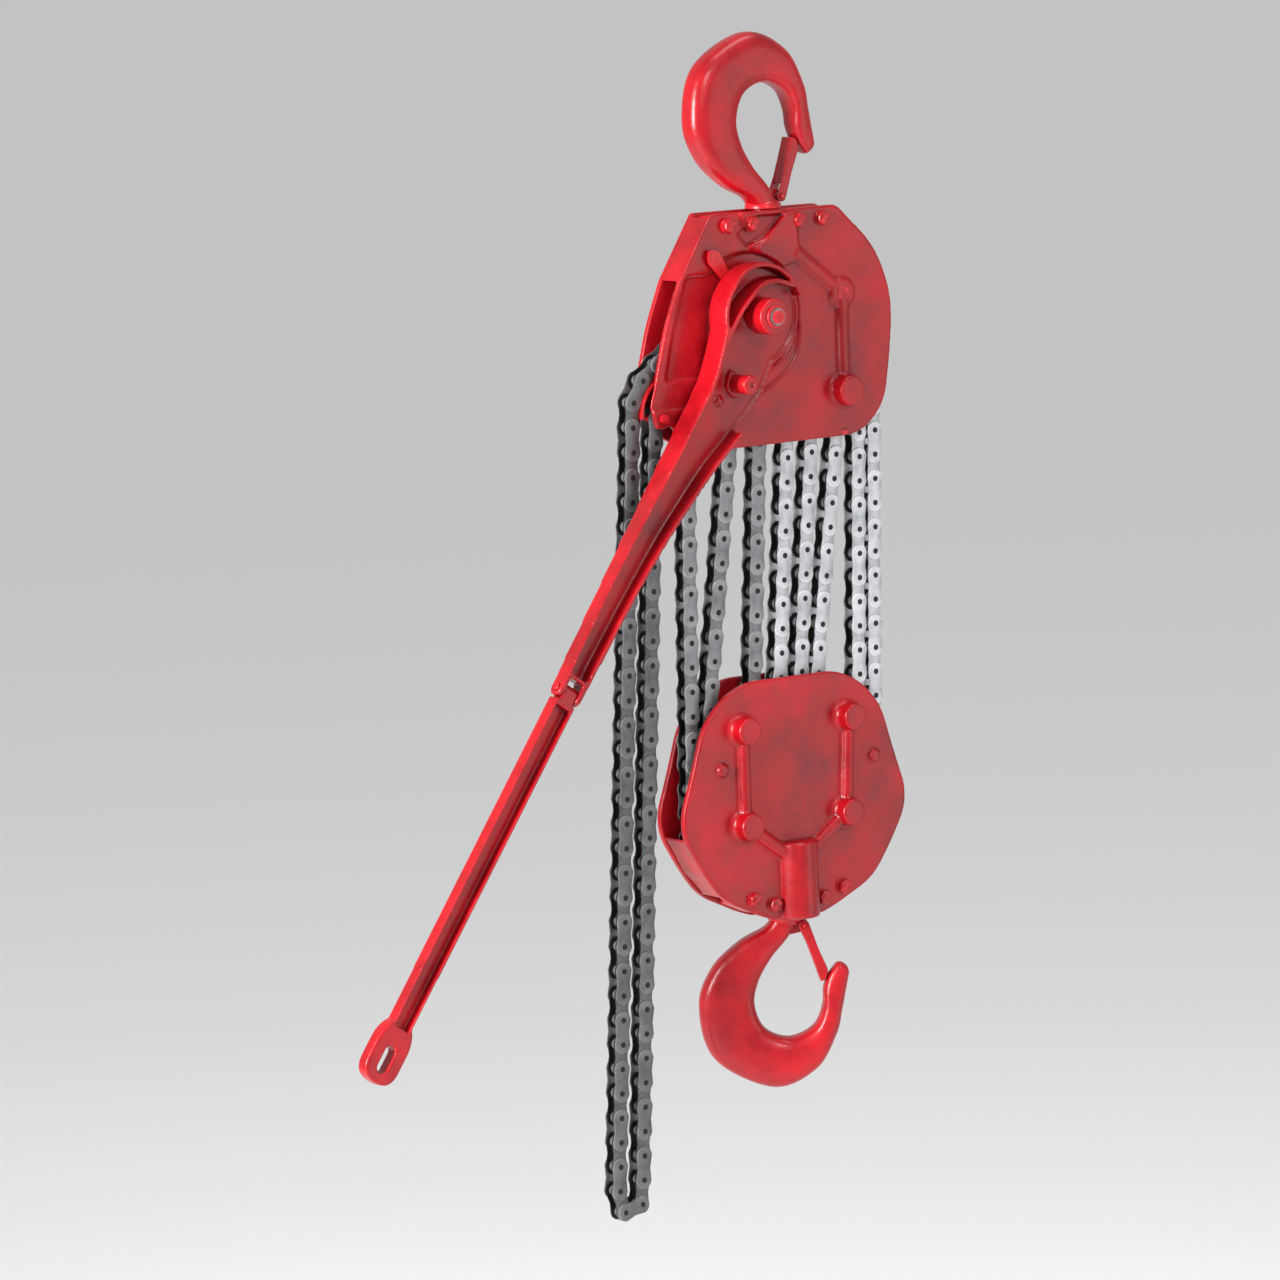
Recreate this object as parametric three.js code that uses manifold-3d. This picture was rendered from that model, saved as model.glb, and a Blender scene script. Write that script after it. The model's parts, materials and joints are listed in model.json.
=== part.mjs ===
// Ratchet-lever chain hoist: two hook blocks, eight falls of roller chain, a long ratchet lever and a
// slack loop. Millimetres, +Z up, front of the hoist towards -Y, origin at the top hook's saddle.
import * as THREE from 'three';
import { mergeVertices } from 'three/addons/utils/BufferGeometryUtils.js';
import Module from 'manifold-3d';

const wasm = await Module();
wasm.setup();

// ---- clearances ---------------------------------------------------------------------------------
const SEAT_GAP = 0.3;
const RUN_GAP = 0.4;

// ---- roller chain -------------------------------------------------------------------------------
const PITCH = 25.4;
const LINK_HALF_HEIGHT = 9.6;
const LINK_HALF_WIDTH = 9.25;
const LINK_SLOT_HALF = 5.8;
const LINK_SLOT_RISE = 5.4;
const TOOTH_HALF_WIDTH = 5.3;
const TOOTH_RISE = 4.6;
const ROLLER_RADIUS = 8.0;
const WRAP_TAIL = 40;
const SLACK_JOIN = 0.8;
const SMALL_TEETH = 7;
const LARGE_TEETH = 13;
const LOAD_TEETH = 6;

// ---- hook (both hooks are the same forging) ------------------------------------------------------
const BOWL_RADIUS = 36;
const HOOK_HALF_THICK = 18;
const HOOK_BEVEL = 7;
const HOOK_REACH = 130;
const LOWER_HOOK_TURN = 30;
const COLLAR_RADIUS = 19;
const COLLAR_HEIGHT = 4;
const LATCH_PIVOT = [18, -118];
const LATCH_LENGTH = 62;
const LATCH_LEAN = 17;
const LATCH_PIN_RADIUS = 2.5;
const LATCH_EYE_RADIUS = 5.6;
const LATCH_LUG_HALF = 3.5;
const LATCH_SPRING_WIDTH = 3.1;
const LATCH_CHEEK = 2.0;
const LATCH_SHEET = 2.4;

// ---- upper block (depths run down from its top edge) ----------------------------------------------
const UPPER_TOP = -130;
const UPPER_HALF_GAP = 14;
const UPPER_PLATE = 6;
const UPPER_SHANK_RADIUS = 10.5;
const UPPER_NUT_RADIUS = 13.5;
const UPPER_YOKE_TOP = 3;
const UPPER_YOKE_HEIGHT = 23;
const UPPER_YOKE_HALF = 72;
const NUT_HEIGHT = 12;
const HUB_X = -37;
const HUB_DEPTH = 106;
const LARGE_RIGHT = [82, 92];
const SMALL_RIGHT = [82, 193];
const SMALL_LEFT = [-80, 193];
const DEAD_END = [82, 236];
const SLACK_ANCHOR = [-150, 204];
const UPPER_OUTLINE = [
  [-80, 0, 3], [80, 0, 6], [130, 47, 26], [150, 100, 40], [146, 152, 30], [136, 212, 34],
  [104, 241, 22], [-98, 243, 12], [-128, 228, 8], [-140, 212, 5], [-147, 215, 3], [-158, 214, 4],
  [-163, 190, 5], [-156, 169, 6], [-141, 112, 20], [-122, 66, 4],
];
const RECESS_RADIUS = 64;
const RECESS_TOP = 62;
const RECESS_BOTTOM = 166;
const LEFT_RECESS = [
  [-112, RECESS_TOP, 3], [HUB_X, RECESS_TOP, 1], [HUB_X, RECESS_BOTTOM, 1], [-143, RECESS_BOTTOM, 3],
  [-130, 112, 20],
];
const FLOOR_FRONT = 14.6;
const FLOOR_BACK = 10.6;
const CHAMFER_WALL = 4;
const BACK_BOSS = 6;
const SHAFT_NUT = 7;

// ---- lower block ----------------------------------------------------------------------------------
const LOWER_TOP = -615;
const LOWER_HALF_GAP = 17;
const LOWER_PLATE = 7;
const LOWER_SHANK_RADIUS = 12;
const LOWER_NUT_RADIUS = 16.4;
const LOWER_LEFT_SMALL = [-67, 49];
const LOWER_LEFT_LARGE = [-67, 149];
const LOWER_RIGHT_SMALL = [70, 49];
const LOWER_RIGHT_LARGE = [64, 149];
const LOWER_HEIGHT = 253;
const LOWER_YOKE_TOP = 222;
const LOWER_OUTLINE = [
  [-58, 0, 14], [58, 0, 14], [90, 14, 20], [116, 42, 24], [131, 92, 60], [150, 145, 36],
  [120, 195, 24], [98, 224, 30], [48, 247, 12], [30, 253, 4], [-30, 253, 4], [-48, 247, 12],
  [-98, 224, 30], [-120, 195, 24], [-150, 145, 36], [-131, 92, 60], [-116, 42, 24], [-90, 14, 20],
];
const LOWER_WALL = 3;

// ---- bosses, ribs and fasteners ---------------------------------------------------------------------
const BOSS_RADIUS = 14.5;
const BOSS_HEIGHT = 17;
const BOSS_FLOOR = 4;
const FLUSH_BOSS_HEIGHT = 3.4;
const RIB_WIDTH = 13;
const RIB_HEIGHT = 8;
const BARREL_RADIUS = 23;
const BARREL_TOP = 172;
const BOLT_RADIUS = 5;
const BOLT_HEAD_RADIUS = 8;
const BOLT_HEAD_HEIGHT = 5.5;
const UPPER_BOLTS = [[-60, 13], [-30, 13], [30, 13], [60, 13]];
const LOWER_BOLTS = [[-58, 228], [-32, 236], [32, 236], [58, 228]];
const PIN_RADIUS = 8;
const ANCHOR_PIN_RADIUS = 4.5;

// ---- ratchet and lever --------------------------------------------------------------------------------
const SHAFT_RADIUS = 9;
const RATCHET_RADIUS = 46;
const RATCHET_ROOT = 40;
const RATCHET_TEETH = 12;
const LEVER_LEAN = 35;
const LEVER_BACK = UPPER_HALF_GAP + UPPER_PLATE + 4;
const LEVER_WEB = 6;
const LEVER_UPPER_DEPTH = 20;
const LEVER_LOWER_DEPTH = 15;
const LEVER_RIM = 4.5;
const HEAD_RADIUS = 55;
const HUB_RADIUS = 19;
const HUB_FRONT = LEVER_BACK + 42;
const NECK_HALF = 23.5;
const NECK_AT = 95;
const RIGHT_EDGE = [[20, -260], [31, -165], [47, -92]];
const KNUCKLE_AT = 444;
const KNUCKLE_RADIUS = 9.3;
const UPPER_ARM_HALF = 15;
const LOWER_ARM_HALF = 12.5;
const TONGUE_HALF = 8.6;
const FOLD_PIN_RADIUS = 4;
const GRIP_AT = 862;
const GRIP_HALF = 21;
const GRIP_END = 26;
const GRIP_SLOT_HALF = 6.5;
const GRIP_SLOT_LENGTH = 30;
const KNOB_PLACE = [14, -73];
const KNOB_RADIUS = 9.8;
const KNOB_LENGTH = 32;
const KNOB_LIFT = 6.4;
const KNOB_STEM_RADIUS = 4.5;
const PAWL_THICK = 3;
const PAWL_PIN_RADIUS = 4;
const HOLD_PAWL_PIVOT = [-82, 43];

// ---- chain guide and slack loop --------------------------------------------------------------------
const GUIDE_CENTRE = [-130, 200];
const GUIDE_CHAIN_RADIUS = 50;
const GUIDE_SHEET = 3;
const SLACK_X = -180;
const SLACK_DRIFT = 50;
const SLACK_BOTTOM = -1163;

// ---- finishes -----------------------------------------------------------------------------------------
const RED_PAINT = { color: 0xc01020, roughness: 0.35, metalness: 0.0 };
const CHAIN_STEEL = { color: 0x9a9da2, roughness: 0.4, metalness: 0.9 };
const DARK_STEEL = { color: 0x5a5c60, roughness: 0.45, metalness: 0.9 };

const hoist = new THREE.Group();

/** Adds one named piece made of one closed geometry. */
function addPiece(name, geometry, finish, parent = hoist) {
  const mesh = new THREE.Mesh(geometry, new THREE.MeshStandardMaterial(finish));
  mesh.name = name;
  parent.add(mesh);
  return mesh;
}

/** Closed three.js geometry to a solid that can be joined and cut. */
function toSolid(geometry) {
  let plain = geometry.clone();
  plain.deleteAttribute('normal');
  plain.deleteAttribute('uv');
  plain = mergeVertices(plain, 1e-4);
  return new wasm.Manifold(new wasm.Mesh({
    numProp: 3,
    vertProperties: new Float32Array(plain.attributes.position.array),
    triVerts: new Uint32Array(plain.index.array),
  }));
}

/** Solid back to a three.js geometry. */
function toGeometry(solid) {
  const mesh = solid.getMesh();
  const geometry = new THREE.BufferGeometry();
  geometry.setAttribute('position', new THREE.BufferAttribute(new Float32Array(mesh.vertProperties), 3));
  geometry.setIndex(new THREE.BufferAttribute(new Uint32Array(mesh.triVerts), 1));
  geometry.computeVertexNormals();
  return geometry;
}

/** Joins the first list of geometries and cuts the second list from them. */
function carve(joined, cut = []) {
  let solid = toSolid(joined[0]);
  for (const geometry of joined.slice(1)) {
    solid = solid.add(toSolid(geometry));
  }
  for (const geometry of cut) {
    solid = solid.subtract(toSolid(geometry));
  }
  return toGeometry(solid);
}

/** Closed outline from [x, z, corner radius] points, each corner eased by a curve. */
function easedShape(points) {
  const shape = new THREE.Shape();
  const count = points.length;
  points.forEach(([x, z, radius = 0], i) => {
    const [px, pz] = points[(i + count - 1) % count];
    const [nx, nz] = points[(i + 1) % count];
    const inLength = Math.hypot(px - x, pz - z);
    const outLength = Math.hypot(nx - x, nz - z);
    const ease = Math.min(radius, inLength * 0.49, outLength * 0.49);
    const start = [x + (px - x) * ease / inLength, z + (pz - z) * ease / inLength];
    const end = [x + (nx - x) * ease / outLength, z + (nz - z) * ease / outLength];
    if (i === 0) {
      shape.moveTo(...start);
    } else {
      shape.lineTo(...start);
    }
    if (ease > 0) {
      shape.quadraticCurveTo(x, z, ...end);
    }
  });
  shape.closePath();
  return shape;
}

/** A shape drawn in X and Z, made solid from yFront to yBack. */
function slab(shape, yFront, yBack, curveSegments = 3) {
  const geometry = new THREE.ExtrudeGeometry(shape, {
    depth: yBack - yFront, bevelEnabled: false, curveSegments,
  });
  geometry.rotateX(Math.PI / 2);
  geometry.translate(0, yBack, 0);
  return geometry;
}

/** A round bar along Y. */
function bar(x, z, radius, yFront, yBack, sides = 16) {
  const geometry = new THREE.CylinderGeometry(radius, radius, yBack - yFront, sides);
  geometry.translate(x, (yFront + yBack) / 2, z);
  return geometry;
}

/** A round bar along Z. */
function post(radius, zLow, zHigh, y = 0, sides = 20) {
  const geometry = new THREE.CylinderGeometry(radius, radius, zHigh - zLow, sides);
  geometry.rotateX(Math.PI / 2);
  geometry.translate(0, y, (zLow + zHigh) / 2);
  return geometry;
}

/** A straight-edged block with sides along the axes. */
function block(xLow, xHigh, yLow, yHigh, zLow, zHigh) {
  const geometry = new THREE.BoxGeometry(xHigh - xLow, yHigh - yLow, zHigh - zLow);
  geometry.translate((xLow + xHigh) / 2, (yLow + yHigh) / 2, (zLow + zHigh) / 2);
  return geometry;
}

/** A rib of one width between two points of the X Z plane. */
function rib([x1, z1], [x2, z2], width, yFront, yBack) {
  const length = Math.hypot(x2 - x1, z2 - z1);
  const side = [-(z2 - z1) / length * width / 2, (x2 - x1) / length * width / 2];
  return slab(easedShape([
    [x1 + side[0], z1 + side[1]], [x1 - side[0], z1 - side[1]],
    [x2 - side[0], z2 - side[1]], [x2 + side[0], z2 + side[1]],
  ]), yFront, yBack);
}

/** The same open line moved sideways by a distance, corner by corner. */
function offsetLine(points, distance, closed = false) {
  const count = points.length;
  return points.map(([x, z], i) => {
    const [px, pz] = points[closed ? (i + count - 1) % count : Math.max(i - 1, 0)];
    const [nx, nz] = points[closed ? (i + 1) % count : Math.min(i + 1, count - 1)];
    const before = new THREE.Vector2(x - px, z - pz).normalize();
    const after = new THREE.Vector2(nx - x, nz - z).normalize();
    const along = before.add(after).normalize();
    const turn = Math.max(0.5, Math.abs(along.dot(after.lengthSq() > 0 ? after : along)));
    return [x - along.y * distance / turn, z + along.x * distance / turn];
  });
}

/** A strip of wall that follows a line, on the side that offsetLine moves to. */
function wallStrip(points, thickness, yFront, yBack) {
  const inner = offsetLine(points, thickness);
  return slab(easedShape([...points, ...inner.reverse()]), yFront, yBack);
}

// ---- chain routes ------------------------------------------------------------------------------------

/** A path through listed points, with a section set square to the mean of its two directions. */
class Route extends THREE.Curve {
  constructor(points) {
    super();
    this.points = points.map(([x, z]) => new THREE.Vector3(x, 0, z));
  }

  getPointAt(u) {
    return this.points[Math.round(u * (this.points.length - 1))].clone();
  }

  getPoint(t) {
    return this.getPointAt(t);
  }

  getTangentAt(u) {
    const i = Math.round(u * (this.points.length - 1));
    const after = this.points[Math.min(i + 1, this.points.length - 1)].clone();
    const before = this.points[Math.max(i - 1, 0)].clone();
    const here = this.points[i];
    const ahead = after.sub(here);
    const behind = here.clone().sub(before);
    if (ahead.lengthSq() > 0) ahead.normalize();
    if (behind.lengthSq() > 0) behind.normalize();
    return ahead.add(behind).normalize();
  }
}

/** Solid of the chain along a route: a channel whose open side faces the wheels it runs on. */
function chainSolid(points) {
  const section = new THREE.Shape([
    new THREE.Vector2(-LINK_HALF_WIDTH, -LINK_HALF_HEIGHT),
    new THREE.Vector2(-LINK_SLOT_HALF, -LINK_HALF_HEIGHT),
    new THREE.Vector2(-LINK_SLOT_HALF, LINK_SLOT_RISE),
    new THREE.Vector2(LINK_SLOT_HALF, LINK_SLOT_RISE),
    new THREE.Vector2(LINK_SLOT_HALF, -LINK_HALF_HEIGHT),
    new THREE.Vector2(LINK_HALF_WIDTH, -LINK_HALF_HEIGHT),
    new THREE.Vector2(LINK_HALF_WIDTH, LINK_HALF_HEIGHT),
    new THREE.Vector2(-LINK_HALF_WIDTH, LINK_HALF_HEIGHT),
  ]);
  const geometry = new THREE.ExtrudeGeometry(section, {
    steps: points.length - 1, extrudePath: new Route(points), bevelEnabled: false,
  });
  return toGeometry(toSolid(geometry));
}

const pitchRadius = (teeth) => PITCH / (2 * Math.sin(Math.PI / teeth));
const wheelAt = ([x, depth], top, teeth) => ({ x, z: top - depth, r: pitchRadius(teeth) });

const WHEELS = {
  load: wheelAt([HUB_X, HUB_DEPTH], UPPER_TOP, LOAD_TEETH),
  upperLeft: wheelAt(SMALL_LEFT, UPPER_TOP, SMALL_TEETH),
  upperLarge: wheelAt(LARGE_RIGHT, UPPER_TOP, LARGE_TEETH),
  upperRight: wheelAt(SMALL_RIGHT, UPPER_TOP, SMALL_TEETH),
  lowerSmallLeft: wheelAt(LOWER_LEFT_SMALL, LOWER_TOP, SMALL_TEETH),
  lowerSmallRight: wheelAt(LOWER_RIGHT_SMALL, LOWER_TOP, SMALL_TEETH),
  lowerLargeLeft: wheelAt(LOWER_LEFT_LARGE, LOWER_TOP, LARGE_TEETH),
  lowerLargeRight: wheelAt(LOWER_RIGHT_LARGE, LOWER_TOP, LARGE_TEETH),
};
const DEAD_POINT = { x: DEAD_END[0], z: UPPER_TOP - DEAD_END[1], r: 0 };

/** Straight fall that touches the given side (+1 right, -1 left) of an upper and a lower wheel. */
function fall(upper, upperSide, lower, lowerSide) {
  const dx = lower.x - upper.x;
  const dz = lower.z - upper.z;
  const turn = Math.acos((upperSide * upper.r - lowerSide * lower.r) / Math.hypot(dx, dz));
  const angle = Math.atan2(dz, dx) + turn;
  const normal = [Math.cos(angle), Math.sin(angle)];
  return {
    angle,
    top: [upper.x + upperSide * upper.r * normal[0], upper.z + upperSide * upper.r * normal[1]],
    bottom: [lower.x + lowerSide * lower.r * normal[0], lower.z + lowerSide * lower.r * normal[1]],
  };
}

/** Points on an arc about a wheel, both ends included. */
function arcPoints(wheel, from, to, steps) {
  return Array.from({ length: steps + 1 }, (_, i) => {
    const angle = from + (to - from) * i / steps;
    return [wheel.x + wheel.r * Math.cos(angle), wheel.z + wheel.r * Math.sin(angle)];
  });
}

/** A point moved by a distance towards another one. */
function towards([x1, z1], [x2, z2], distance) {
  const length = Math.hypot(x2 - x1, z2 - z1);
  return [x1 + (x2 - x1) * distance / length, z1 + (z2 - z1) * distance / length];
}

const FALLS = {
  s3: fall(WHEELS.upperLeft, -1, WHEELS.lowerLargeLeft, -1),
  s4: fall(WHEELS.upperLeft, 1, WHEELS.lowerSmallLeft, -1),
  s5: fall(WHEELS.load, 1, WHEELS.lowerSmallLeft, 1),
  s6: fall(WHEELS.upperLarge, -1, WHEELS.lowerLargeLeft, 1),
  s7: fall(WHEELS.upperRight, -1, WHEELS.lowerLargeRight, -1),
  s8: fall(DEAD_POINT, 1, WHEELS.lowerSmallRight, -1),
  s9: fall(WHEELS.upperRight, 1, WHEELS.lowerSmallRight, 1),
  s10: fall(WHEELS.upperLarge, 1, WHEELS.lowerLargeRight, 1),
};

/** Lower loop: down the left fall, under the wheel and up the right fall. */
function lowerLoop(name, left, wheel, right, leftTrim = WRAP_TAIL + SEAT_GAP) {
  const under = arcPoints(wheel, left.angle + Math.PI, right.angle + 2 * Math.PI, 10);
  addPiece(name, chainSolid([
    towards(left.top, left.bottom, leftTrim), ...under,
    towards(right.top, right.bottom, WRAP_TAIL + SEAT_GAP),
  ]), CHAIN_STEEL);
}

/** Chain over an upper wheel, from its right fall to its left one. */
function upperWrap(name, wheel, right, left) {
  addPiece(name, chainSolid([
    towards(right.top, right.bottom, WRAP_TAIL),
    ...arcPoints(wheel, right.angle, left.angle + Math.PI, 10),
    towards(left.top, left.bottom, WRAP_TAIL),
  ]), CHAIN_STEEL);
}

/** Load sprocket wrap, the run over the guide and the first of the slack side. */
function makeLeadChain() {
  const load = WHEELS.load;
  const guide = { x: GUIDE_CENTRE[0], z: UPPER_TOP - GUIDE_CENTRE[1], r: GUIDE_CHAIN_RADIUS };
  const direction = Math.atan2(guide.z - load.z, guide.x - load.x);
  const distance = Math.hypot(guide.x - load.x, guide.z - load.z);
  const leave = direction - Math.acos((load.r - guide.r) / distance) + 2 * Math.PI;
  addPiece('lead_chain', chainSolid([
    towards(FALLS.s5.top, FALLS.s5.bottom, WRAP_TAIL),
    ...arcPoints(load, FALLS.s5.angle, leave, 10),
    ...arcPoints(guide, leave, Math.PI, 5),
    [SLACK_X, guide.z - PITCH],
  ]), CHAIN_STEEL);
  const strip = { ...guide, r: guide.r - LINK_HALF_HEIGHT - SEAT_GAP - GUIDE_SHEET };
  addPiece('chain_guide', carve([wallStrip(
    arcPoints(strip, leave - 0.25, Math.PI + 0.1, 6), -GUIDE_SHEET,
    -(FLOOR_BACK - SEAT_GAP), UPPER_HALF_GAP - SEAT_GAP,
  )]), RED_PAINT);
}

/** Hanging slack loop between the lead chain and its anchor on the frame. */
function makeSlackChain() {
  const anchorX = SLACK_ANCHOR[0];
  const radius = (anchorX - SLACK_X) / 2;
  const turn = {
    x: SLACK_X + radius - SLACK_DRIFT, z: SLACK_BOTTOM + radius + LINK_HALF_HEIGHT, r: radius,
  };
  addPiece('slack_chain', chainSolid([
    [SLACK_X, UPPER_TOP - GUIDE_CENTRE[1] - PITCH - SLACK_JOIN],
    ...arcPoints(turn, Math.PI, 2 * Math.PI, 6),
    [anchorX, UPPER_TOP - SLACK_ANCHOR[1] - ANCHOR_PIN_RADIUS - SEAT_GAP],
  ]), DARK_STEEL);
}

// ---- wheels ---------------------------------------------------------------------------------------------

/** Outline of a chain wheel: a round seat for each roller and a blunt tooth between seats. */
function wheelShape(wheel, teeth) {
  const points = [];
  const step = 2 * Math.PI / teeth;
  for (let i = 0; i < teeth; i += 1) {
    const seat = i * step;
    const centre = { x: wheel.r * Math.cos(seat), z: wheel.r * Math.sin(seat), r: ROLLER_RADIUS + RUN_GAP };
    points.push(...arcPoints(centre, seat + Math.PI * 1.42, seat + Math.PI * 0.58, 4));
    const tip = wheel.r + TOOTH_RISE;
    const lean = step * 0.1;
    for (const angle of [seat + step / 2 - lean, seat + step / 2 + lean]) {
      points.push([tip * Math.cos(angle), tip * Math.sin(angle)]);
    }
  }
  return easedShape(points);
}

/** Chain wheel with its hub and bore; width is the room between the plates on each side. */
function wheelSolid(wheel, teeth, hubRadius, boreRadius, yFront, yBack) {
  const toothed = slab(wheelShape(wheel, teeth), -TOOTH_HALF_WIDTH, TOOTH_HALF_WIDTH);
  const hub = bar(0, 0, hubRadius, yFront, yBack, 24);
  const bore = boreRadius > 0 ? [bar(0, 0, boreRadius, yFront - 1, yBack + 1)] : [];
  const geometry = carve([toothed, hub], bore);
  geometry.translate(wheel.x, 0, wheel.z);
  return geometry;
}

function makeWheels() {
  const upperSide = UPPER_HALF_GAP - SEAT_GAP;
  const lowerSide = LOWER_HALF_GAP - SEAT_GAP;
  const bore = PIN_RADIUS + SEAT_GAP;
  const list = [
    ['upper_left_sheave', WHEELS.upperLeft, SMALL_TEETH, upperSide],
    ['upper_large_sheave', WHEELS.upperLarge, LARGE_TEETH, upperSide],
    ['upper_right_sheave', WHEELS.upperRight, SMALL_TEETH, upperSide],
    ['lower_left_small_sheave', WHEELS.lowerSmallLeft, SMALL_TEETH, lowerSide],
    ['lower_right_small_sheave', WHEELS.lowerSmallRight, SMALL_TEETH, lowerSide],
    ['lower_left_large_sheave', WHEELS.lowerLargeLeft, LARGE_TEETH, lowerSide],
    ['lower_right_large_sheave', WHEELS.lowerLargeRight, LARGE_TEETH, lowerSide],
  ];
  for (const [name, wheel, teeth, side] of list) {
    addPiece(name, wheelSolid(wheel, teeth, PIN_RADIUS * 2, bore, -side, side), DARK_STEEL);
  }
}

// ---- hooks ------------------------------------------------------------------------------------------------

/** Hook outline with the bowl's centre under the saddle at the origin, shank down. */
function hookShape() {
  const shape = new THREE.Shape();
  shape.moveTo(-COLLAR_RADIUS + 3, -HOOK_REACH + COLLAR_HEIGHT);
  shape.lineTo(COLLAR_RADIUS - 9, -HOOK_REACH + COLLAR_HEIGHT);
  shape.bezierCurveTo(2, -108, -18, -92, -BOWL_RADIUS + 3, -BOWL_RADIUS - 22);
  shape.absarc(0, -BOWL_RADIUS, BOWL_RADIUS, Math.PI, -0.3, true);
  shape.bezierCurveTo(37, -56, 42, -66, 50, -73);
  shape.bezierCurveTo(56, -77, 65, -72, 64, -64);
  shape.bezierCurveTo(60, -48, 58, -30, 52, -12);
  shape.bezierCurveTo(40, 30, 14, 53, -18, 53);
  shape.bezierCurveTo(-64, 53, -95, 12, -95, -34);
  shape.bezierCurveTo(-95, -76, -62, -98, -40, -109);
  shape.bezierCurveTo(-30, -114, -22, -119, -COLLAR_RADIUS + 3, -HOOK_REACH + COLLAR_HEIGHT);
  return shape;
}

/** One hook with its latch, built upright at the origin inside the given group. */
function makeHook(prefix, group, shankRadius, shankLength, nutRadius, nutTop) {
  const half = HOOK_HALF_THICK - HOOK_BEVEL;
  const body = new THREE.ExtrudeGeometry(hookShape(), {
    depth: 2 * half, bevelThickness: HOOK_BEVEL, bevelSize: 0.001 + HOOK_BEVEL * 0.6,
    bevelOffset: -HOOK_BEVEL * 0.6, bevelSegments: 2, curveSegments: 5,
  });
  body.rotateX(Math.PI / 2);
  body.translate(0, half, 0);
  const [pivotX, pivotZ] = LATCH_PIVOT;
  const lug = slab(easedShape([
    [-6, pivotZ - 6], [pivotX, pivotZ - LATCH_EYE_RADIUS, 4], [pivotX + LATCH_EYE_RADIUS, pivotZ, 4],
    [pivotX, pivotZ + LATCH_EYE_RADIUS, 4], [-8, pivotZ + 9],
  ]), -LATCH_LUG_HALF, LATCH_LUG_HALF);
  const cheekZone = block(pivotX - 9, pivotX + 12, -30, -LATCH_LUG_HALF, pivotZ - 7.6, pivotZ + 13);
  const cheekZoneBack = cheekZone.clone().translate(0, 30 + LATCH_LUG_HALF, 0);
  addPiece(`${prefix}_hook`, carve([
    carve([body], [cheekZone, cheekZoneBack]), lug,
    post(COLLAR_RADIUS, -HOOK_REACH + SEAT_GAP, -HOOK_REACH + COLLAR_HEIGHT),
    post(shankRadius, -HOOK_REACH - shankLength, -HOOK_REACH + COLLAR_HEIGHT / 2),
  ], [bar(pivotX, pivotZ, LATCH_PIN_RADIUS + SEAT_GAP, -20, 20, 14)]), RED_PAINT, group);
  addPiece(`${prefix}_hook_nut`, carve(
    [post(nutRadius, -HOOK_REACH - nutTop - NUT_HEIGHT, -HOOK_REACH - nutTop)],
    [post(shankRadius + SEAT_GAP, -HOOK_REACH - nutTop - NUT_HEIGHT - 1, -HOOK_REACH - nutTop + 1)],
  ), DARK_STEEL, group);
  const springFront = LATCH_LUG_HALF + SEAT_GAP;
  const cheekStart = springFront + LATCH_SPRING_WIDTH + SEAT_GAP;
  const cheekEnd = cheekStart + LATCH_CHEEK;
  const ring = carve(
    [bar(pivotX, pivotZ, LATCH_EYE_RADIUS - 0.6, -springFront - LATCH_SPRING_WIDTH, -springFront)],
    [bar(pivotX, pivotZ, LATCH_PIN_RADIUS + SEAT_GAP, -20, 20, 14)],
  );
  addPiece(`${prefix}_latch_spring`, ring, DARK_STEEL, group);
  addPiece(`${prefix}_latch_pin`, bar(pivotX, pivotZ, LATCH_PIN_RADIUS, -cheekEnd - 1, cheekEnd + 1, 14),
    DARK_STEEL, group);
  const lean = THREE.MathUtils.degToRad(LATCH_LEAN);
  const clearEye = LATCH_EYE_RADIUS + 2.6;
  const cheek = (yFront, yBack) => slab(easedShape([
    [-LATCH_EYE_RADIUS, 0, 4], [0, -LATCH_EYE_RADIUS, 4], [LATCH_EYE_RADIUS, 0, 4],
    [LATCH_EYE_RADIUS, LATCH_LENGTH * 0.8, 2], [0, LATCH_LENGTH, 1], [-2, LATCH_LENGTH, 1], [-3, 20, 2],
  ]), yFront, yBack);
  const sheet = block(-LATCH_SHEET, 0, -cheekEnd, cheekEnd, clearEye + 6, LATCH_LENGTH);
  const latch = carve(
    [cheek(-cheekEnd, -cheekStart), cheek(cheekStart, cheekEnd), sheet],
    [bar(0, 0, LATCH_PIN_RADIUS + SEAT_GAP, -20, 20, 14)],
  );
  latch.rotateY(lean);
  latch.translate(pivotX, 0, pivotZ);
  addPiece(`${prefix}_latch`, latch, RED_PAINT, group);
}

// ---- blocks -------------------------------------------------------------------------------------------------

/** Outline whose points give depths below a top edge. */
function hangingShape(outline, top) {
  return easedShape(outline.map(([x, depth, radius]) => [x, top - depth, radius]));
}

/** Yoke bolts of one block, each with its head in front and its shank screwed into the back plate. */
function makeBolts(prefix, places, top, halfGap, plate) {
  places.forEach(([x, depth], i) => {
    const face = -(halfGap + plate + SEAT_GAP);
    const z = top - depth;
    addPiece(`${prefix}_yoke_bolt_${i + 1}`, carve([
      bar(x, z, BOLT_HEAD_RADIUS, face - BOLT_HEAD_HEIGHT, face, 12),
      bar(x, z, BOLT_RADIUS, face - 1, halfGap + plate, 12),
    ]), RED_PAINT);
  });
}

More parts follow.
